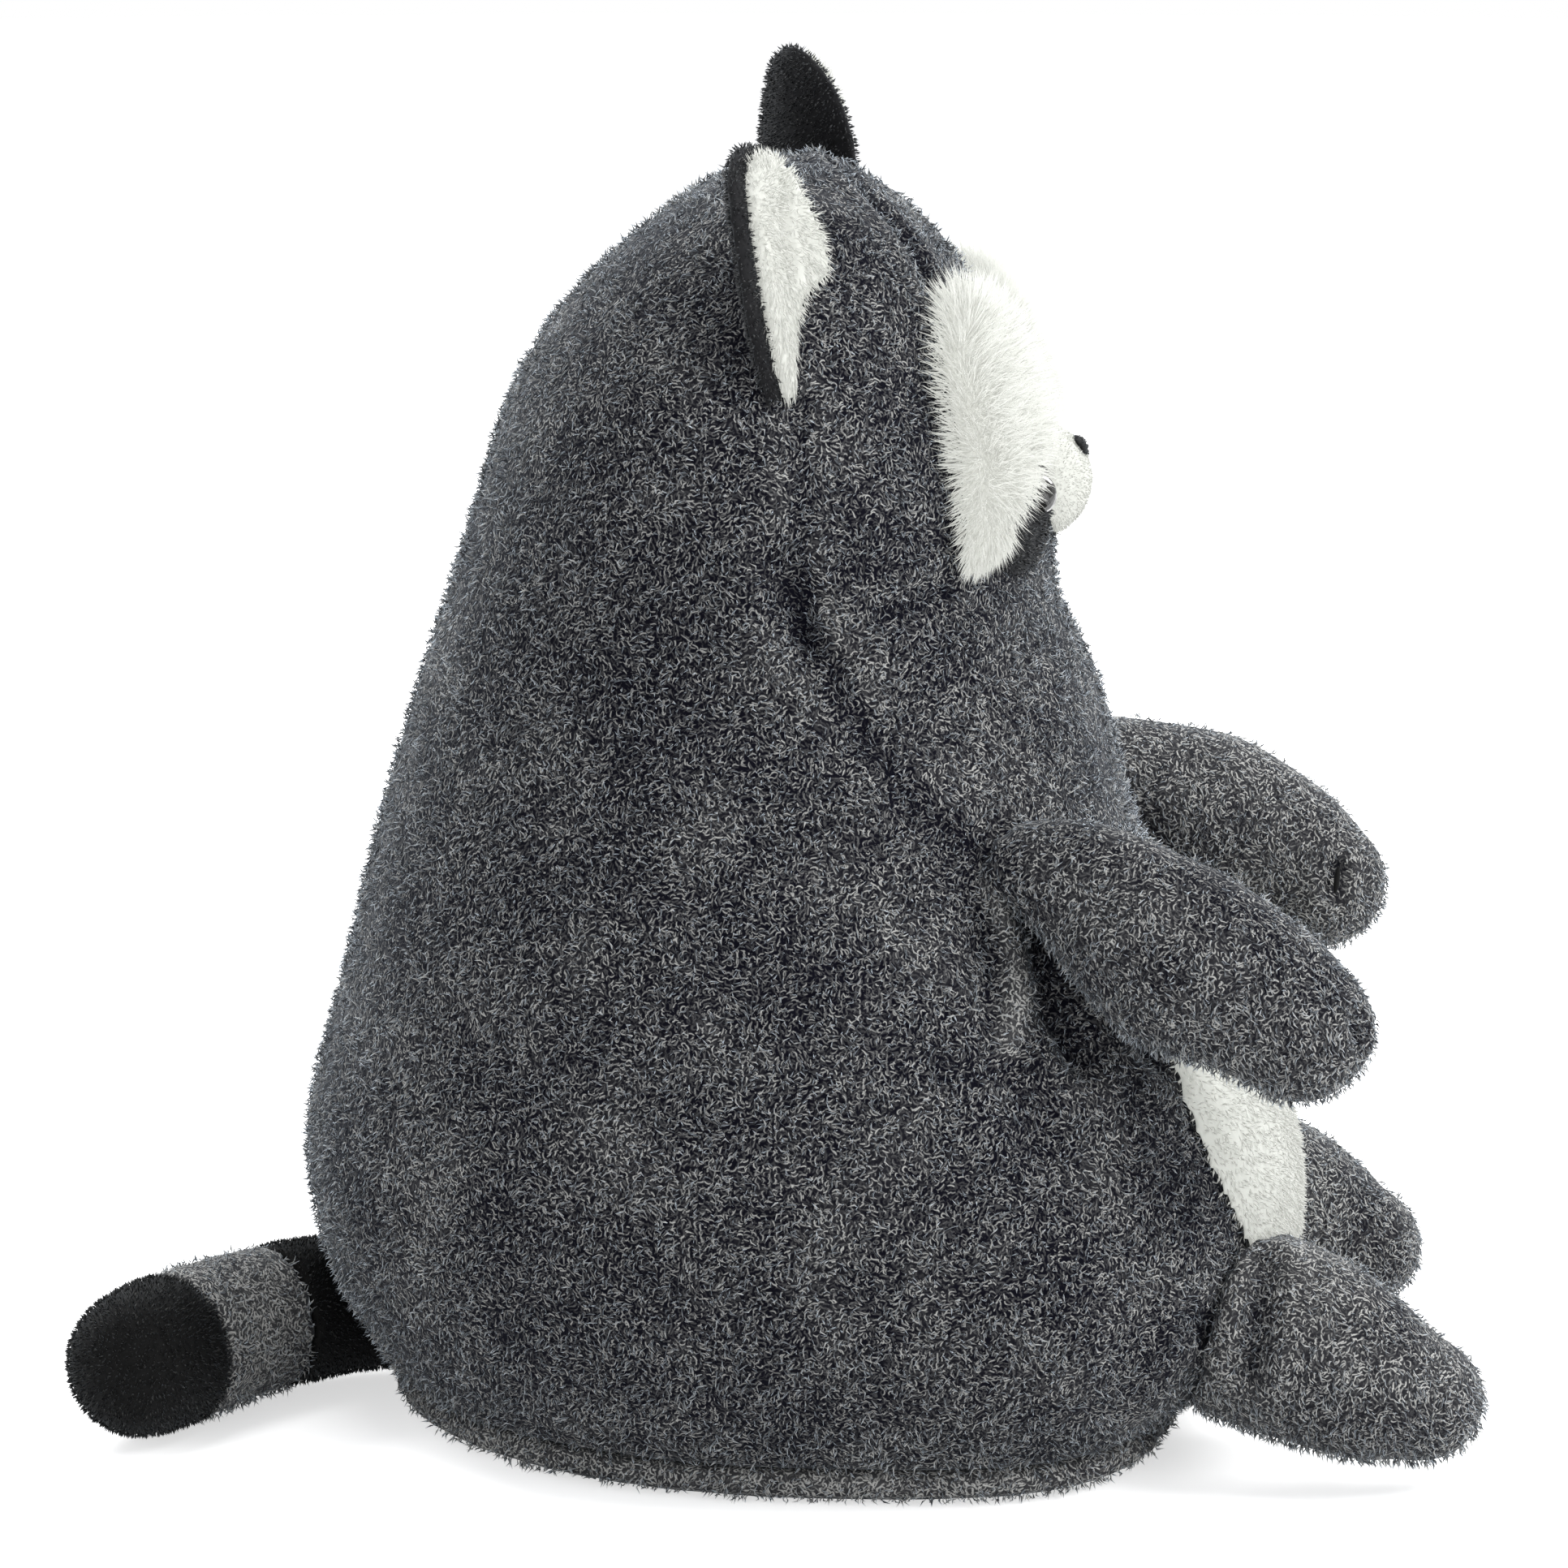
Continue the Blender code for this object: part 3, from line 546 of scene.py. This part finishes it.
# %% [markdown]
# ## Folds and seams
# The photograph shows where the cloth is drawn in: the seam down the head's side, the ridge
# over the brow, the slack below the arm, the gathers at the ankle and the stitches in the
# paws. Each line is a few of its pixels, put on the skin by a ray from the camera, and the
# cloth on both sides of the line swells a little. Where the cloth stands up in a ridge, the
# depth is below 0. An attribute also paints the light and shade of the fold: painted shade
# darkens the fold, and painted light makes the cloth beside it and a ridge paler.

# %% Folds and seams
def seen(tree, x, y):
    """The point of a skin that the photograph shows at one of its 1932 by 1932 pixels."""
    zoom = PIXELS_PER_METRE * VIEW_DISTANCE
    ray = Vector(((x - PICTURE / 2.0) / zoom, (PICTURE / 2.0 - y) / zoom, -1.0))
    return tree.ray_cast(camera.location, (camera.rotation_euler.to_matrix() @ ray).normalized())[0]


def sink(node, path, depth, spread, swell=0.35):
    """Press a line into a skin and let the cloth beside it rise. A depth below 0 is a ridge. Shade is painted into a
    fold, and light beside it and on a ridge.
    """
    mesh = skins[node].data
    place = numbers(mesh.vertices, "co")
    gap = np.full(len(place), 1.0)
    for first, last in zip(path, path[1:]):
        first, run = np.array(first), np.array(last - first)
        share = np.clip((place - first) @ run / (run @ run), 0.0, 1.0)
        gap = np.minimum(gap, np.linalg.norm(place - first - share[:, None] * run, axis=1))
    dip = np.exp(-(gap / spread) ** 2) - swell * np.exp(-((gap - 2.2 * spread) / spread) ** 2)
    move_to(mesh, place - numbers(mesh.vertex_normals, "vector") * (depth * dip)[:, None])
    # Painted shade in the fold, painted light beside it and on a ridge.
    lay = mesh.attributes.get("lay") or mesh.attributes.new("lay", "FLOAT", "POINT")
    before = np.empty(len(place), np.float32)
    lay.data.foreach_get("value", before)
    lay.data.foreach_set("value", (before - dip * (1.0 if depth > 0.0 else -1.6)).astype(np.float32))


def crease(nodes, pixels, depth, spread, swell=0.35):
    """The same fold on the near side, as it is seen, and mirrored on the far side."""
    tree = skin_tree(nodes[0])
    points = [point for point in (seen(tree, *pixel) for pixel in pixels) if point is not None]
    for node, mirror in zip(nodes, (1.0, -1.0)):
        tree = skin_tree(node)
        path = [tree.find_nearest(Vector((point.x * mirror, point.y, point.z)))[0] for point in points]
        sink(node, path, depth, spread, swell)


BODY, ARMS, FEET, LININGS = (
    ("body", "body"), ("arm_right", "arm_left"), ("foot_right", "foot_left"), ("ear_lining_right", "ear_lining_left"))
CREASES = (
    # skins, pixels along the line, depth and spread in mm
    (BODY, ((985, 500), (985, 700), (1000, 780)), 2.0, 2.8),
    (BODY, ((1000, 780), (1060, 900), (1130, 1000), (1190, 1040)), 0.8, 3.6),
    (BODY, ((955, 685), (970, 740), (990, 800)), 2.2, 4.2),
    (BODY, ((1085, 755), (1125, 748), (1165, 728)), 1.6, 3.0),
    (BODY, ((1030, 205), (1075, 245), (1125, 305), (1150, 375)), 2.6, 2.8),
    (BODY, ((1275, 1095), (1294, 1180), (1302, 1245), (1330, 1300)), 5.0, 5.0),
    (BODY, ((1340, 1150), (1385, 1235), (1425, 1300)), 4.0, 4.6),
    (BODY, ((1222, 1095), (1245, 1160), (1258, 1230), (1240, 1290)), -2.2, 3.2),
    (BODY, ((1283, 1100), (1340, 1180), (1400, 1270)), -1.5, 3.4),
    (BODY, ((1470, 1620), (1500, 1660), (1495, 1720)), 1.8, 3.4),
    (FEET, ((1560, 1550), (1552, 1620), (1540, 1690)), 3.2, 3.6),
    (LININGS, ((966, 215), (966, 275), (976, 340)), 1.3, 1.8),
)
for nodes, pixels, depth, spread in CREASES:
    crease(nodes, pixels, depth * MM, spread * MM)
print("creases and ridges:", len(CREASES))

# %% [markdown]
# ## Shoulder and paws
# The near shoulder is stuffed fuller on top, so a soft hump rises there. The near paw is
# drawn in at a notch, and the far one at a stitch.

# %% Shoulder and paws
mesh = skins["arm_right"].data
place, facing = numbers(mesh.vertices, "co"), numbers(mesh.vertex_normals, "vector")
top = place[np.argmax(place[:, 2] - 100.0 * (np.abs(place[:, 1] + 0.092) > 5.0 * MM))]
rise = 5.0 * MM * np.exp(-(np.linalg.norm(place - top, axis=1) / (24.0 * MM)) ** 2) * np.clip(facing[:, 2], 0.0, 1.0)
place[:, 2] += rise
move_to(mesh, place)

PAW_STITCH = [seen(skin_tree("arm_left"), *pixel) for pixel in ((1648, 1066), (1646, 1083), (1644, 1100))]
sink("arm_left", PAW_STITCH, 3.0 * MM, 2.6 * MM)
PAW_NOTCH = [seen(skin_tree("arm_right"), *pixel) for pixel in ((1672, 1262), (1678, 1284))]
sink("arm_right", PAW_NOTCH, 3.0 * MM, 2.6 * MM)
trees = {node: skin_tree(node) for node in skins}
print("shoulder raised by", round(1000 * rise.max(), 1), "mm, both paws drawn in")

# %% [markdown]
# ## Curls
# Two fibres are enough. A frizzy curl is bent, so it is a three-sided spindle with its
# waist pushed aside. Short nap is straighter and can be a four-cornered sliver. Long
# pile is the same sliver, longer. Each lies along +Z and is one unit long and wide, and +X
# is its outer side. A cone has all the corners that they need.

# %% Curls
def store_fibre(name, bm):
    """Keep a fibre as a hidden source for scattering, with its height kept as tip."""
    layer = bm.verts.layers.float.new("tip")
    for vert in bm.verts:
        vert[layer] = min(max(vert.co.z, 0.0), 1.0)
    bmesh.ops.triangulate(bm, faces=bm.faces)
    bmesh.ops.recalc_face_normals(bm, faces=bm.faces)
    mesh = bpy.data.meshes.new(name)
    bm.to_mesh(mesh)
    bm.free()
    mesh.shade_smooth()
    fibre = bpy.data.objects.new(name, mesh)
    bpy.context.collection.objects.link(fibre)
    fibre.hide_render = True
    print(name, "faces:", len(mesh.polygons))
    return fibre


def cone(low, high, top=0.0, bottom=0.5):
    """A three-sided cone or stem along +Z."""
    bm = bmesh.new()
    bmesh.ops.create_cone(bm, cap_ends=True, segments=3, radius1=bottom, radius2=top, depth=high - low)
    bmesh.ops.translate(bm, verts=bm.verts, vec=(0.0, 0.0, (high + low) / 2.0))
    return bm


# The frizzy curl: its waist is a third of the way up and sits a whole width to one side
bm = cone(0.42, 1.0)
waist = min(bm.faces, key=lambda f: f.calc_center_median().z)
root = bmesh.ops.poke(bm, faces=[waist])["verts"][0]
root.co = (0.0, -0.9, -0.12)
for vert in bm.verts:
    if 0.3 < vert.co.z < 0.6 and vert is not root:
        vert.co.y += 0.75
    elif vert.co.z > 0.9:
        vert.co.y -= 0.9
frizzy_curl = store_fibre("frizzy_curl", bm)

# The nap sliver: one corner of the cone's foot becomes its root
bm = cone(0.4, 1.0)
foot = [v for v in bm.verts if v.co.z < 0.5]
for vert, corner in zip(foot, ((0.0, 0.0, -0.12), (0.16, 0.5, 0.40), (0.16, -0.5, 0.40))):
    vert.co = corner
nap_sliver = store_fibre("nap_sliver", bm)

# %% [markdown]
# ## Growing the pile
# Pile grows everywhere on a skin except where another piece covers it. A short ray
# from each point of the skin finds that out. Geometry Nodes then scatters the curls: the
# direction of each is the skin's own normal, leaned over by a slow noise, so that
# neighbours lie the same way as in a real nap, and shaken a little so that none is equal.
# The result is kept as a plain mesh, so nothing of the scatter is left live.

# %% Growing the pile
def scatter_tree(curl, per_mm2, length, width, stand, swirl, swirl_size, comb, jitter, seed):
    """The node tree that scatters one kind of curl over a skin."""
    tree = bpy.data.node_groups.new("pile", "GeometryNodeTree")
    tree.interface.new_socket("Geometry", in_out="INPUT", socket_type="NodeSocketGeometry")
    tree.interface.new_socket("Geometry", in_out="OUTPUT", socket_type="NodeSocketGeometry")
    nodes, links = tree.nodes, tree.links

    def vector_math(operation, first, second):
        node = nodes.new("ShaderNodeVectorMath")
        node.operation = operation
        for socket, value in zip(node.inputs, (first, second)):
            if isinstance(value, bpy.types.NodeSocket):
                links.new(value, socket)
            else:
                socket.default_value = value
        return node.outputs["Vector"]

    def scaled(vector, amount):
        node = nodes.new("ShaderNodeVectorMath")
        node.operation = "SCALE"
        links.new(vector, node.inputs[0])
        node.inputs["Scale"].default_value = amount
        return node.outputs["Vector"]

    def stored(kind, label):
        """What the skin keeps under this name, or nothing."""
        node = nodes.new("GeometryNodeInputNamedAttribute")
        node.data_type = kind
        node.inputs["Name"].default_value = label
        return next(s for s in node.outputs if s.enabled and s.name == "Attribute")

    def random_between(kind, low, high, shift):
        node = nodes.new("FunctionNodeRandomValue")
        node.data_type = kind
        pair = [s for s in node.inputs if s.name in ("Min", "Max") and s.enabled]
        pair[0].default_value, pair[1].default_value = low, high
        node.inputs["Seed"].default_value = seed + shift
        return next(s for s in node.outputs if s.enabled)

    start, end = nodes.new("NodeGroupInput"), nodes.new("NodeGroupOutput")
    density = nodes.new("ShaderNodeMath")
    density.operation = "MULTIPLY"
    links.new(stored("FLOAT", "grow"), density.inputs[0])
    density.inputs[1].default_value = per_mm2 * 1e6
    points = nodes.new("GeometryNodeDistributePointsOnFaces")
    points.inputs["Seed"].default_value = seed
    links.new(start.outputs[0], points.inputs["Mesh"])
    links.new(density.outputs[0], next(s for s in points.inputs if s.name == "Density" and s.enabled))

    place = nodes.new("GeometryNodeInputPosition")
    eddies = nodes.new("ShaderNodeTexNoise")
    eddies.inputs["Scale"].default_value = 1.0 / swirl_size
    eddies.inputs["Detail"].default_value = 2.0
    links.new(place.outputs[0], eddies.inputs["Vector"])
    nap = scaled(vector_math("SUBTRACT", eddies.outputs["Color"], (0.5, 0.5, 0.5)), swirl * 2.0)
    shake = random_between("FLOAT_VECTOR", (-jitter,) * 3, (jitter,) * 3, 11)
    lean = vector_math("ADD", vector_math("ADD", nap, shake), vector_math("ADD", stored("FLOAT_VECTOR", "nap"), comb))
    facing = points.outputs["Normal"]
    heading = vector_math("ADD", scaled(facing, stand), lean)

    along = nodes.new("FunctionNodeAlignRotationToVector")
    along.axis = "Z"
    links.new(heading, along.inputs["Vector"])
    outward = nodes.new("FunctionNodeAlignRotationToVector")
    outward.axis, outward.pivot_axis = "X", "Z"
    links.new(along.outputs[0], outward.inputs["Rotation"])
    links.new(facing, outward.inputs["Vector"])
    spin = nodes.new("FunctionNodeAxisAngleToRotation")
    spin.inputs["Axis"].default_value = (0.0, 0.0, 1.0)
    links.new(random_between("FLOAT", -1.1, 1.1, 23), spin.inputs["Angle"])
    turned = nodes.new("FunctionNodeRotateRotation")
    turned.rotation_space = "LOCAL"
    links.new(outward.outputs[0], turned.inputs["Rotation"])
    links.new(spin.outputs[0], turned.inputs["Rotate By"])

    source = nodes.new("GeometryNodeObjectInfo")
    source.inputs["Object"].default_value = curl
    size = random_between(
        "FLOAT_VECTOR", (width * 0.7, width * 0.7, length * 0.65), (width * 1.3, width * 1.3, length * 1.35), 37)
    curls = nodes.new("GeometryNodeInstanceOnPoints")
    links.new(points.outputs["Points"], curls.inputs["Points"])
    links.new(source.outputs["Geometry"], curls.inputs["Instance"])
    links.new(turned.outputs[0], curls.inputs["Rotation"])
    kept = nodes.new("ShaderNodeMath")
    kept.operation = "SUBTRACT"
    kept.inputs[0].default_value = 1.0
    links.new(stored("FLOAT", "trim"), kept.inputs[1])
    trimmed = nodes.new("ShaderNodeCombineXYZ")
    trimmed.inputs[0].default_value = trimmed.inputs[1].default_value = 1.0
    links.new(kept.outputs[0], trimmed.inputs[2])
    links.new(vector_math("MULTIPLY", size, trimmed.outputs[0]), curls.inputs["Scale"])
    shade = nodes.new("GeometryNodeStoreNamedAttribute")
    shade.data_type, shade.domain = "FLOAT", "INSTANCE"
    shade.inputs["Name"].default_value = "shade"
    links.new(curls.outputs[0], shade.inputs["Geometry"])
    links.new(
        random_between("FLOAT", 0.0, 1.0, 41),
        next(s for s in shade.inputs if s.name == "Value" and s.enabled))
    real = nodes.new("GeometryNodeRealizeInstances")
    links.new(shade.outputs[0], real.inputs[0])
    links.new(real.outputs[0], end.inputs[0])
    return tree


def grow_pile(name, node, curl, finish, slot, grow, **look):
    """Scatter curls over a skin and keep them as a piece of their own."""
    skin = skins[node]
    attribute = skin.data.attributes.get("grow") or skin.data.attributes.new("grow", "FLOAT", "POINT")
    attribute.data.foreach_set("value", np.asarray(grow, np.float32))
    scatter = skin.modifiers.new("pile", "NODES")
    scatter.node_group = scatter_tree(curl, **look)
    mesh = finished_mesh(skin)
    skin.modifiers.clear()
    mesh.name = name
    mesh.materials.clear()
    mesh.materials.append(finish)
    mesh.shade_smooth()
    place = numbers(mesh.vertices, "co")
    place[:, 2] = np.maximum(place[:, 2], 0.1 * MM)
    move_to(mesh, place)
    pile = add(name, mesh)
    print(f"{name:24s} curls' faces: {len(mesh.polygons)}")
    return pile


print("the scatter is ready for", len(skins), "skins")

# %% [markdown]
# ## Combing
# Before pile grows, it is given its lay. The base strip, the tail's gray band and the limbs
# get painted light: their pile is made paler all over, where the lamps leave them too dark.
# The long brow pile and the linings are combed outwards from the middle, so that they
# overhang their own edges, and the brow is trimmed shorter towards the cheek.

# %% Combing
def paint_skin_lighter(node, amount):
    """Paint light on the pile of a whole skin, which makes it paler all over."""
    mesh = skins[node].data
    lay = mesh.attributes.get("lay") or mesh.attributes.new("lay", "FLOAT", "POINT")
    before = np.empty(len(mesh.vertices), np.float32)
    lay.data.foreach_get("value", before)
    lay.data.foreach_set("value", before + np.float32(amount))


def fan_out(node, push, power=2.0):
    """Comb a patch outwards from its middle, more towards its edge."""
    mesh = skins[node].data
    place = numbers(mesh.vertices, "co")
    away = place - place.mean(axis=0)
    normal = numbers(mesh.vertex_normals, "vector")
    away -= normal * (away * normal).sum(axis=1)[:, None]
    share = np.abs(away) / np.abs(away).max(axis=0)
    share = np.linalg.norm(share, axis=1)[:, None]
    away /= np.maximum(np.linalg.norm(away, axis=1), 1e-6)[:, None]
    nap = mesh.attributes.new("nap", "FLOAT_VECTOR", "POINT")
    nap.data.foreach_set("vector", (away * push * np.minimum(share, 1.0) ** power).astype(np.float32).ravel())


# Painted light: the pile of these skins is made paler all over, where the lamps leave it too dark.
for node, amount in (("base_panel", 1.8), ("tail_middle_band", 2.0), ("arm_left", 0.9), ("foot_left", 0.7),
                     ("arm_right", 0.35), ("foot_right", 0.8)):
    paint_skin_lighter(node, amount)
for side in ("right", "left"):
    fan_out("brow_patch_" + side, 0.5)
    fan_out("ear_lining_" + side, 1.2)
    brow = skins["brow_patch_" + side].data
    height = numbers(brow.vertices, "co")[:, 2]
    low = np.clip(1.0 - (height - height.min()) / (32.0 * MM), 0.0, 1.0)
    brow.attributes.new("trim", "FLOAT", "POINT").data.foreach_set("value", (0.40 * low).astype(np.float32))
print("combed: brows, linings, limbs, base strip and the tail's gray band")

# %% [markdown]
# ## Pile recipes
# Each cloth has its own curl: its length and width, how many stand on a square millimetre,
# how far they stand up, and which way they are combed. The arms and feet are combed forward
# and down, as a hand strokes them.

# %% Pile recipes
GRAY = dict(per_mm2=0.338, length=2.6 * MM, width=0.50 * MM, stand=0.27, swirl=1.7, swirl_size=7.7 * MM,
            comb=(0.0, 0.05, -0.15), jitter=0.40)
LIMB = dict(GRAY, comb=(0.0, -0.10, -0.50), swirl=1.2)
VELOUR = dict(per_mm2=1.10, length=1.5 * MM, width=0.55 * MM, stand=1.0, swirl=0.5, swirl_size=12 * MM,
              comb=(0.0, 0.0, -0.1), jitter=0.4)
NOSE_NAP = dict(VELOUR, per_mm2=2.0, length=0.6 * MM, width=0.3 * MM)
WHITE_NAP = dict(per_mm2=0.54, length=2.2 * MM, width=0.60 * MM, stand=0.45, swirl=0.5, swirl_size=10 * MM,
                 comb=(0.0, 0.0, -0.4), jitter=0.3)
MUZZLE_NAP = dict(WHITE_NAP, per_mm2=1.5, length=1.0 * MM, width=0.42 * MM, stand=1.0, comb=(0.0, 0.0, 0.0))
LINING_NAP = dict(WHITE_NAP, per_mm2=1.35, length=2.8 * MM, width=0.40 * MM)
LONG_NAP = dict(per_mm2=3.0, length=9.0 * MM, width=0.40 * MM, stand=0.42, swirl=0.5, swirl_size=16 * MM,
                comb=(0.0, 0.10, 0.0), jitter=0.20)
print("gray curls:", GRAY["per_mm2"], "and long brow pile:", LONG_NAP["per_mm2"], "on a square millimetre")

# %% [markdown]
# ## Gray body pile
# The body has the most pile. It is kept as three pieces, one above the other, so that none
# of them is too heavy.

# %% Gray body pile
open_body = uncovered("body")
height = numbers(skins["body"].data.vertices, "co")[:, 2]
open_body[height < 11.5 * MM] = 0.0
for place, low, high, seed in (("low", 0.0, 0.095, 1), ("middle", 0.095, 0.195, 2), ("high", 0.195, 1.0, 3)):
    share = open_body * ((height >= low) & (height < high))
    grow_pile("body_pile_" + place, "body", frizzy_curl, GRAY_PILE, "gray_plush", share, seed=seed, **GRAY)

rim = numbers(skins["base_panel"].data.vertices, "co")[:, 2]
share = uncovered("base_panel") * (rim > 0.8 * MM)
grow_pile("base_pile", "base_panel", frizzy_curl, GRAY_PILE, "gray_plush", share, seed=4, **GRAY)

# %% [markdown]
# ## All the other pile
# The rest goes by a table. Round the paw's stitch no pile grows, as the thread pulls it in.

# %% All the other pile
PILE_PLAN = (
    ("arm_right", frizzy_curl, GRAY_PILE, "gray_plush", LIMB),
    ("arm_left", frizzy_curl, GRAY_PILE, "gray_plush", LIMB),
    ("foot_right", frizzy_curl, GRAY_PILE, "gray_plush", LIMB),
    ("foot_left", frizzy_curl, GRAY_PILE, "gray_plush", LIMB),
    ("tail_middle_band", frizzy_curl, GRAY_PILE, "gray_plush", GRAY),
    ("tail_base_band", nap_sliver, BLACK_PILE, "black_velour", VELOUR),
    ("tail_tip", nap_sliver, BLACK_PILE, "black_velour", VELOUR),
    ("ear_back_right", nap_sliver, DARK_PILE, "dark_velour", VELOUR),
    ("ear_back_left", nap_sliver, DARK_PILE, "dark_velour", VELOUR),
    ("mask_patch_right", nap_sliver, DARK_PILE, "dark_velour", VELOUR),
    ("mask_patch_left", nap_sliver, DARK_PILE, "dark_velour", VELOUR),
    ("nose", nap_sliver, BLACK_PILE, "black_velour", NOSE_NAP),
    ("ear_lining_right", nap_sliver, LINING_PILE, "white_plush", LINING_NAP),
    ("ear_lining_left", nap_sliver, LINING_PILE, "white_plush", LINING_NAP),
    ("belly_panel", nap_sliver, WHITE_PILE, "white_plush", WHITE_NAP),
    ("muzzle", nap_sliver, LINING_PILE, "white_plush", MUZZLE_NAP),
    ("brow_patch_right", nap_sliver, LONG_PILE, "white_long_pile", LONG_NAP),
    ("brow_patch_left", nap_sliver, LONG_PILE, "white_long_pile", LONG_NAP),
)
for number, (node, curl, finish, slot, look) in enumerate(PILE_PLAN):
    share = uncovered(node)
    if node == "arm_left":
        place = numbers(skins[node].data.vertices, "co")
        for point in PAW_STITCH:
            share[np.linalg.norm(place - np.array(point), axis=1) < 4.0 * MM] = 0.0
    grow_pile(node + "_pile", node, curl, finish, slot, share, seed=20 + number, **look)

# %% [markdown]
# ## Stitch
# A black stitch pulls the far paw in. It is one short thick thread that lies in its dimple.

# %% Stitch
top_end, bottom_end = PAW_STITCH[0], PAW_STITCH[-1]
bm = bmesh.new()
bmesh.ops.create_uvsphere(bm, u_segments=10, v_segments=8, radius=1.0)
bmesh.ops.scale(bm, verts=bm.verts, vec=(0.9 * MM, 0.9 * MM, (top_end - bottom_end).length / 2.0))
turn = (top_end - bottom_end).to_track_quat("Z", "Y").to_matrix()
bmesh.ops.rotate(bm, verts=bm.verts, matrix=turn)
seat, outwards = skin_tree("arm_left").find_nearest(PAW_STITCH[1])[:2]
bmesh.ops.translate(bm, verts=bm.verts, vec=seat + outwards * 2.6 * MM)
bmesh.ops.recalc_face_normals(bm, faces=bm.faces)
thread_mesh = bpy.data.meshes.new("paw_stitch")
bm.to_mesh(thread_mesh)
bm.free()
thread_mesh.materials.append(BLACK_PILE)
thread_mesh.shade_smooth()
add("paw_stitch", thread_mesh)
print("paw stitch:", round(1000 * (top_end - bottom_end).length, 1), "mm long")

# %% [markdown]
# ## Eyes
# The eyes are polished black beads. Their solids have the right shape already, so they
# only get a finish: near-black, smooth, with a faint mottle so that it isn't a flat colour.

# %% Eyes
bead = bpy.data.materials.new("bead")
bead.use_nodes = True
shader = bead.node_tree.nodes["Principled BSDF"]
speck = bead.node_tree.nodes.new("ShaderNodeTexNoise")
speck.inputs["Scale"].default_value = 300.0
where = bead.node_tree.nodes.new("ShaderNodeTexCoord")
bead.node_tree.links.new(where.outputs["Object"], speck.inputs["Vector"])
ramp = bead.node_tree.nodes.new("ShaderNodeValToRGB")
ramp.color_ramp.elements[0].color = (0.004, 0.004, 0.004, 1.0)
ramp.color_ramp.elements[1].color = (0.010, 0.009, 0.008, 1.0)
bead.node_tree.links.new(speck.outputs["Fac"], ramp.inputs["Fac"])
bead.node_tree.links.new(ramp.outputs["Color"], shader.inputs["Base Color"])
shader.inputs["Roughness"].default_value = 0.08
for node in ("eye_right", "eye_left"):
    frame["nodes"][node].data.materials.clear()
    frame["nodes"][node].data.materials.append(bead)
print("eyes are finished")

# %% [markdown]
# ## Finish
# The dressed toy may stand a little proud of its solids, and no more. The fibres were only
# sources for the scatter, so they go. Pile adds up fast, so the triangles of every shown
# piece are worked out.

# %% Finish
for curl in (frizzy_curl, nap_sliver):
    bpy.data.objects.remove(curl)
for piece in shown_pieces():
    piece.data.calc_loop_triangles()
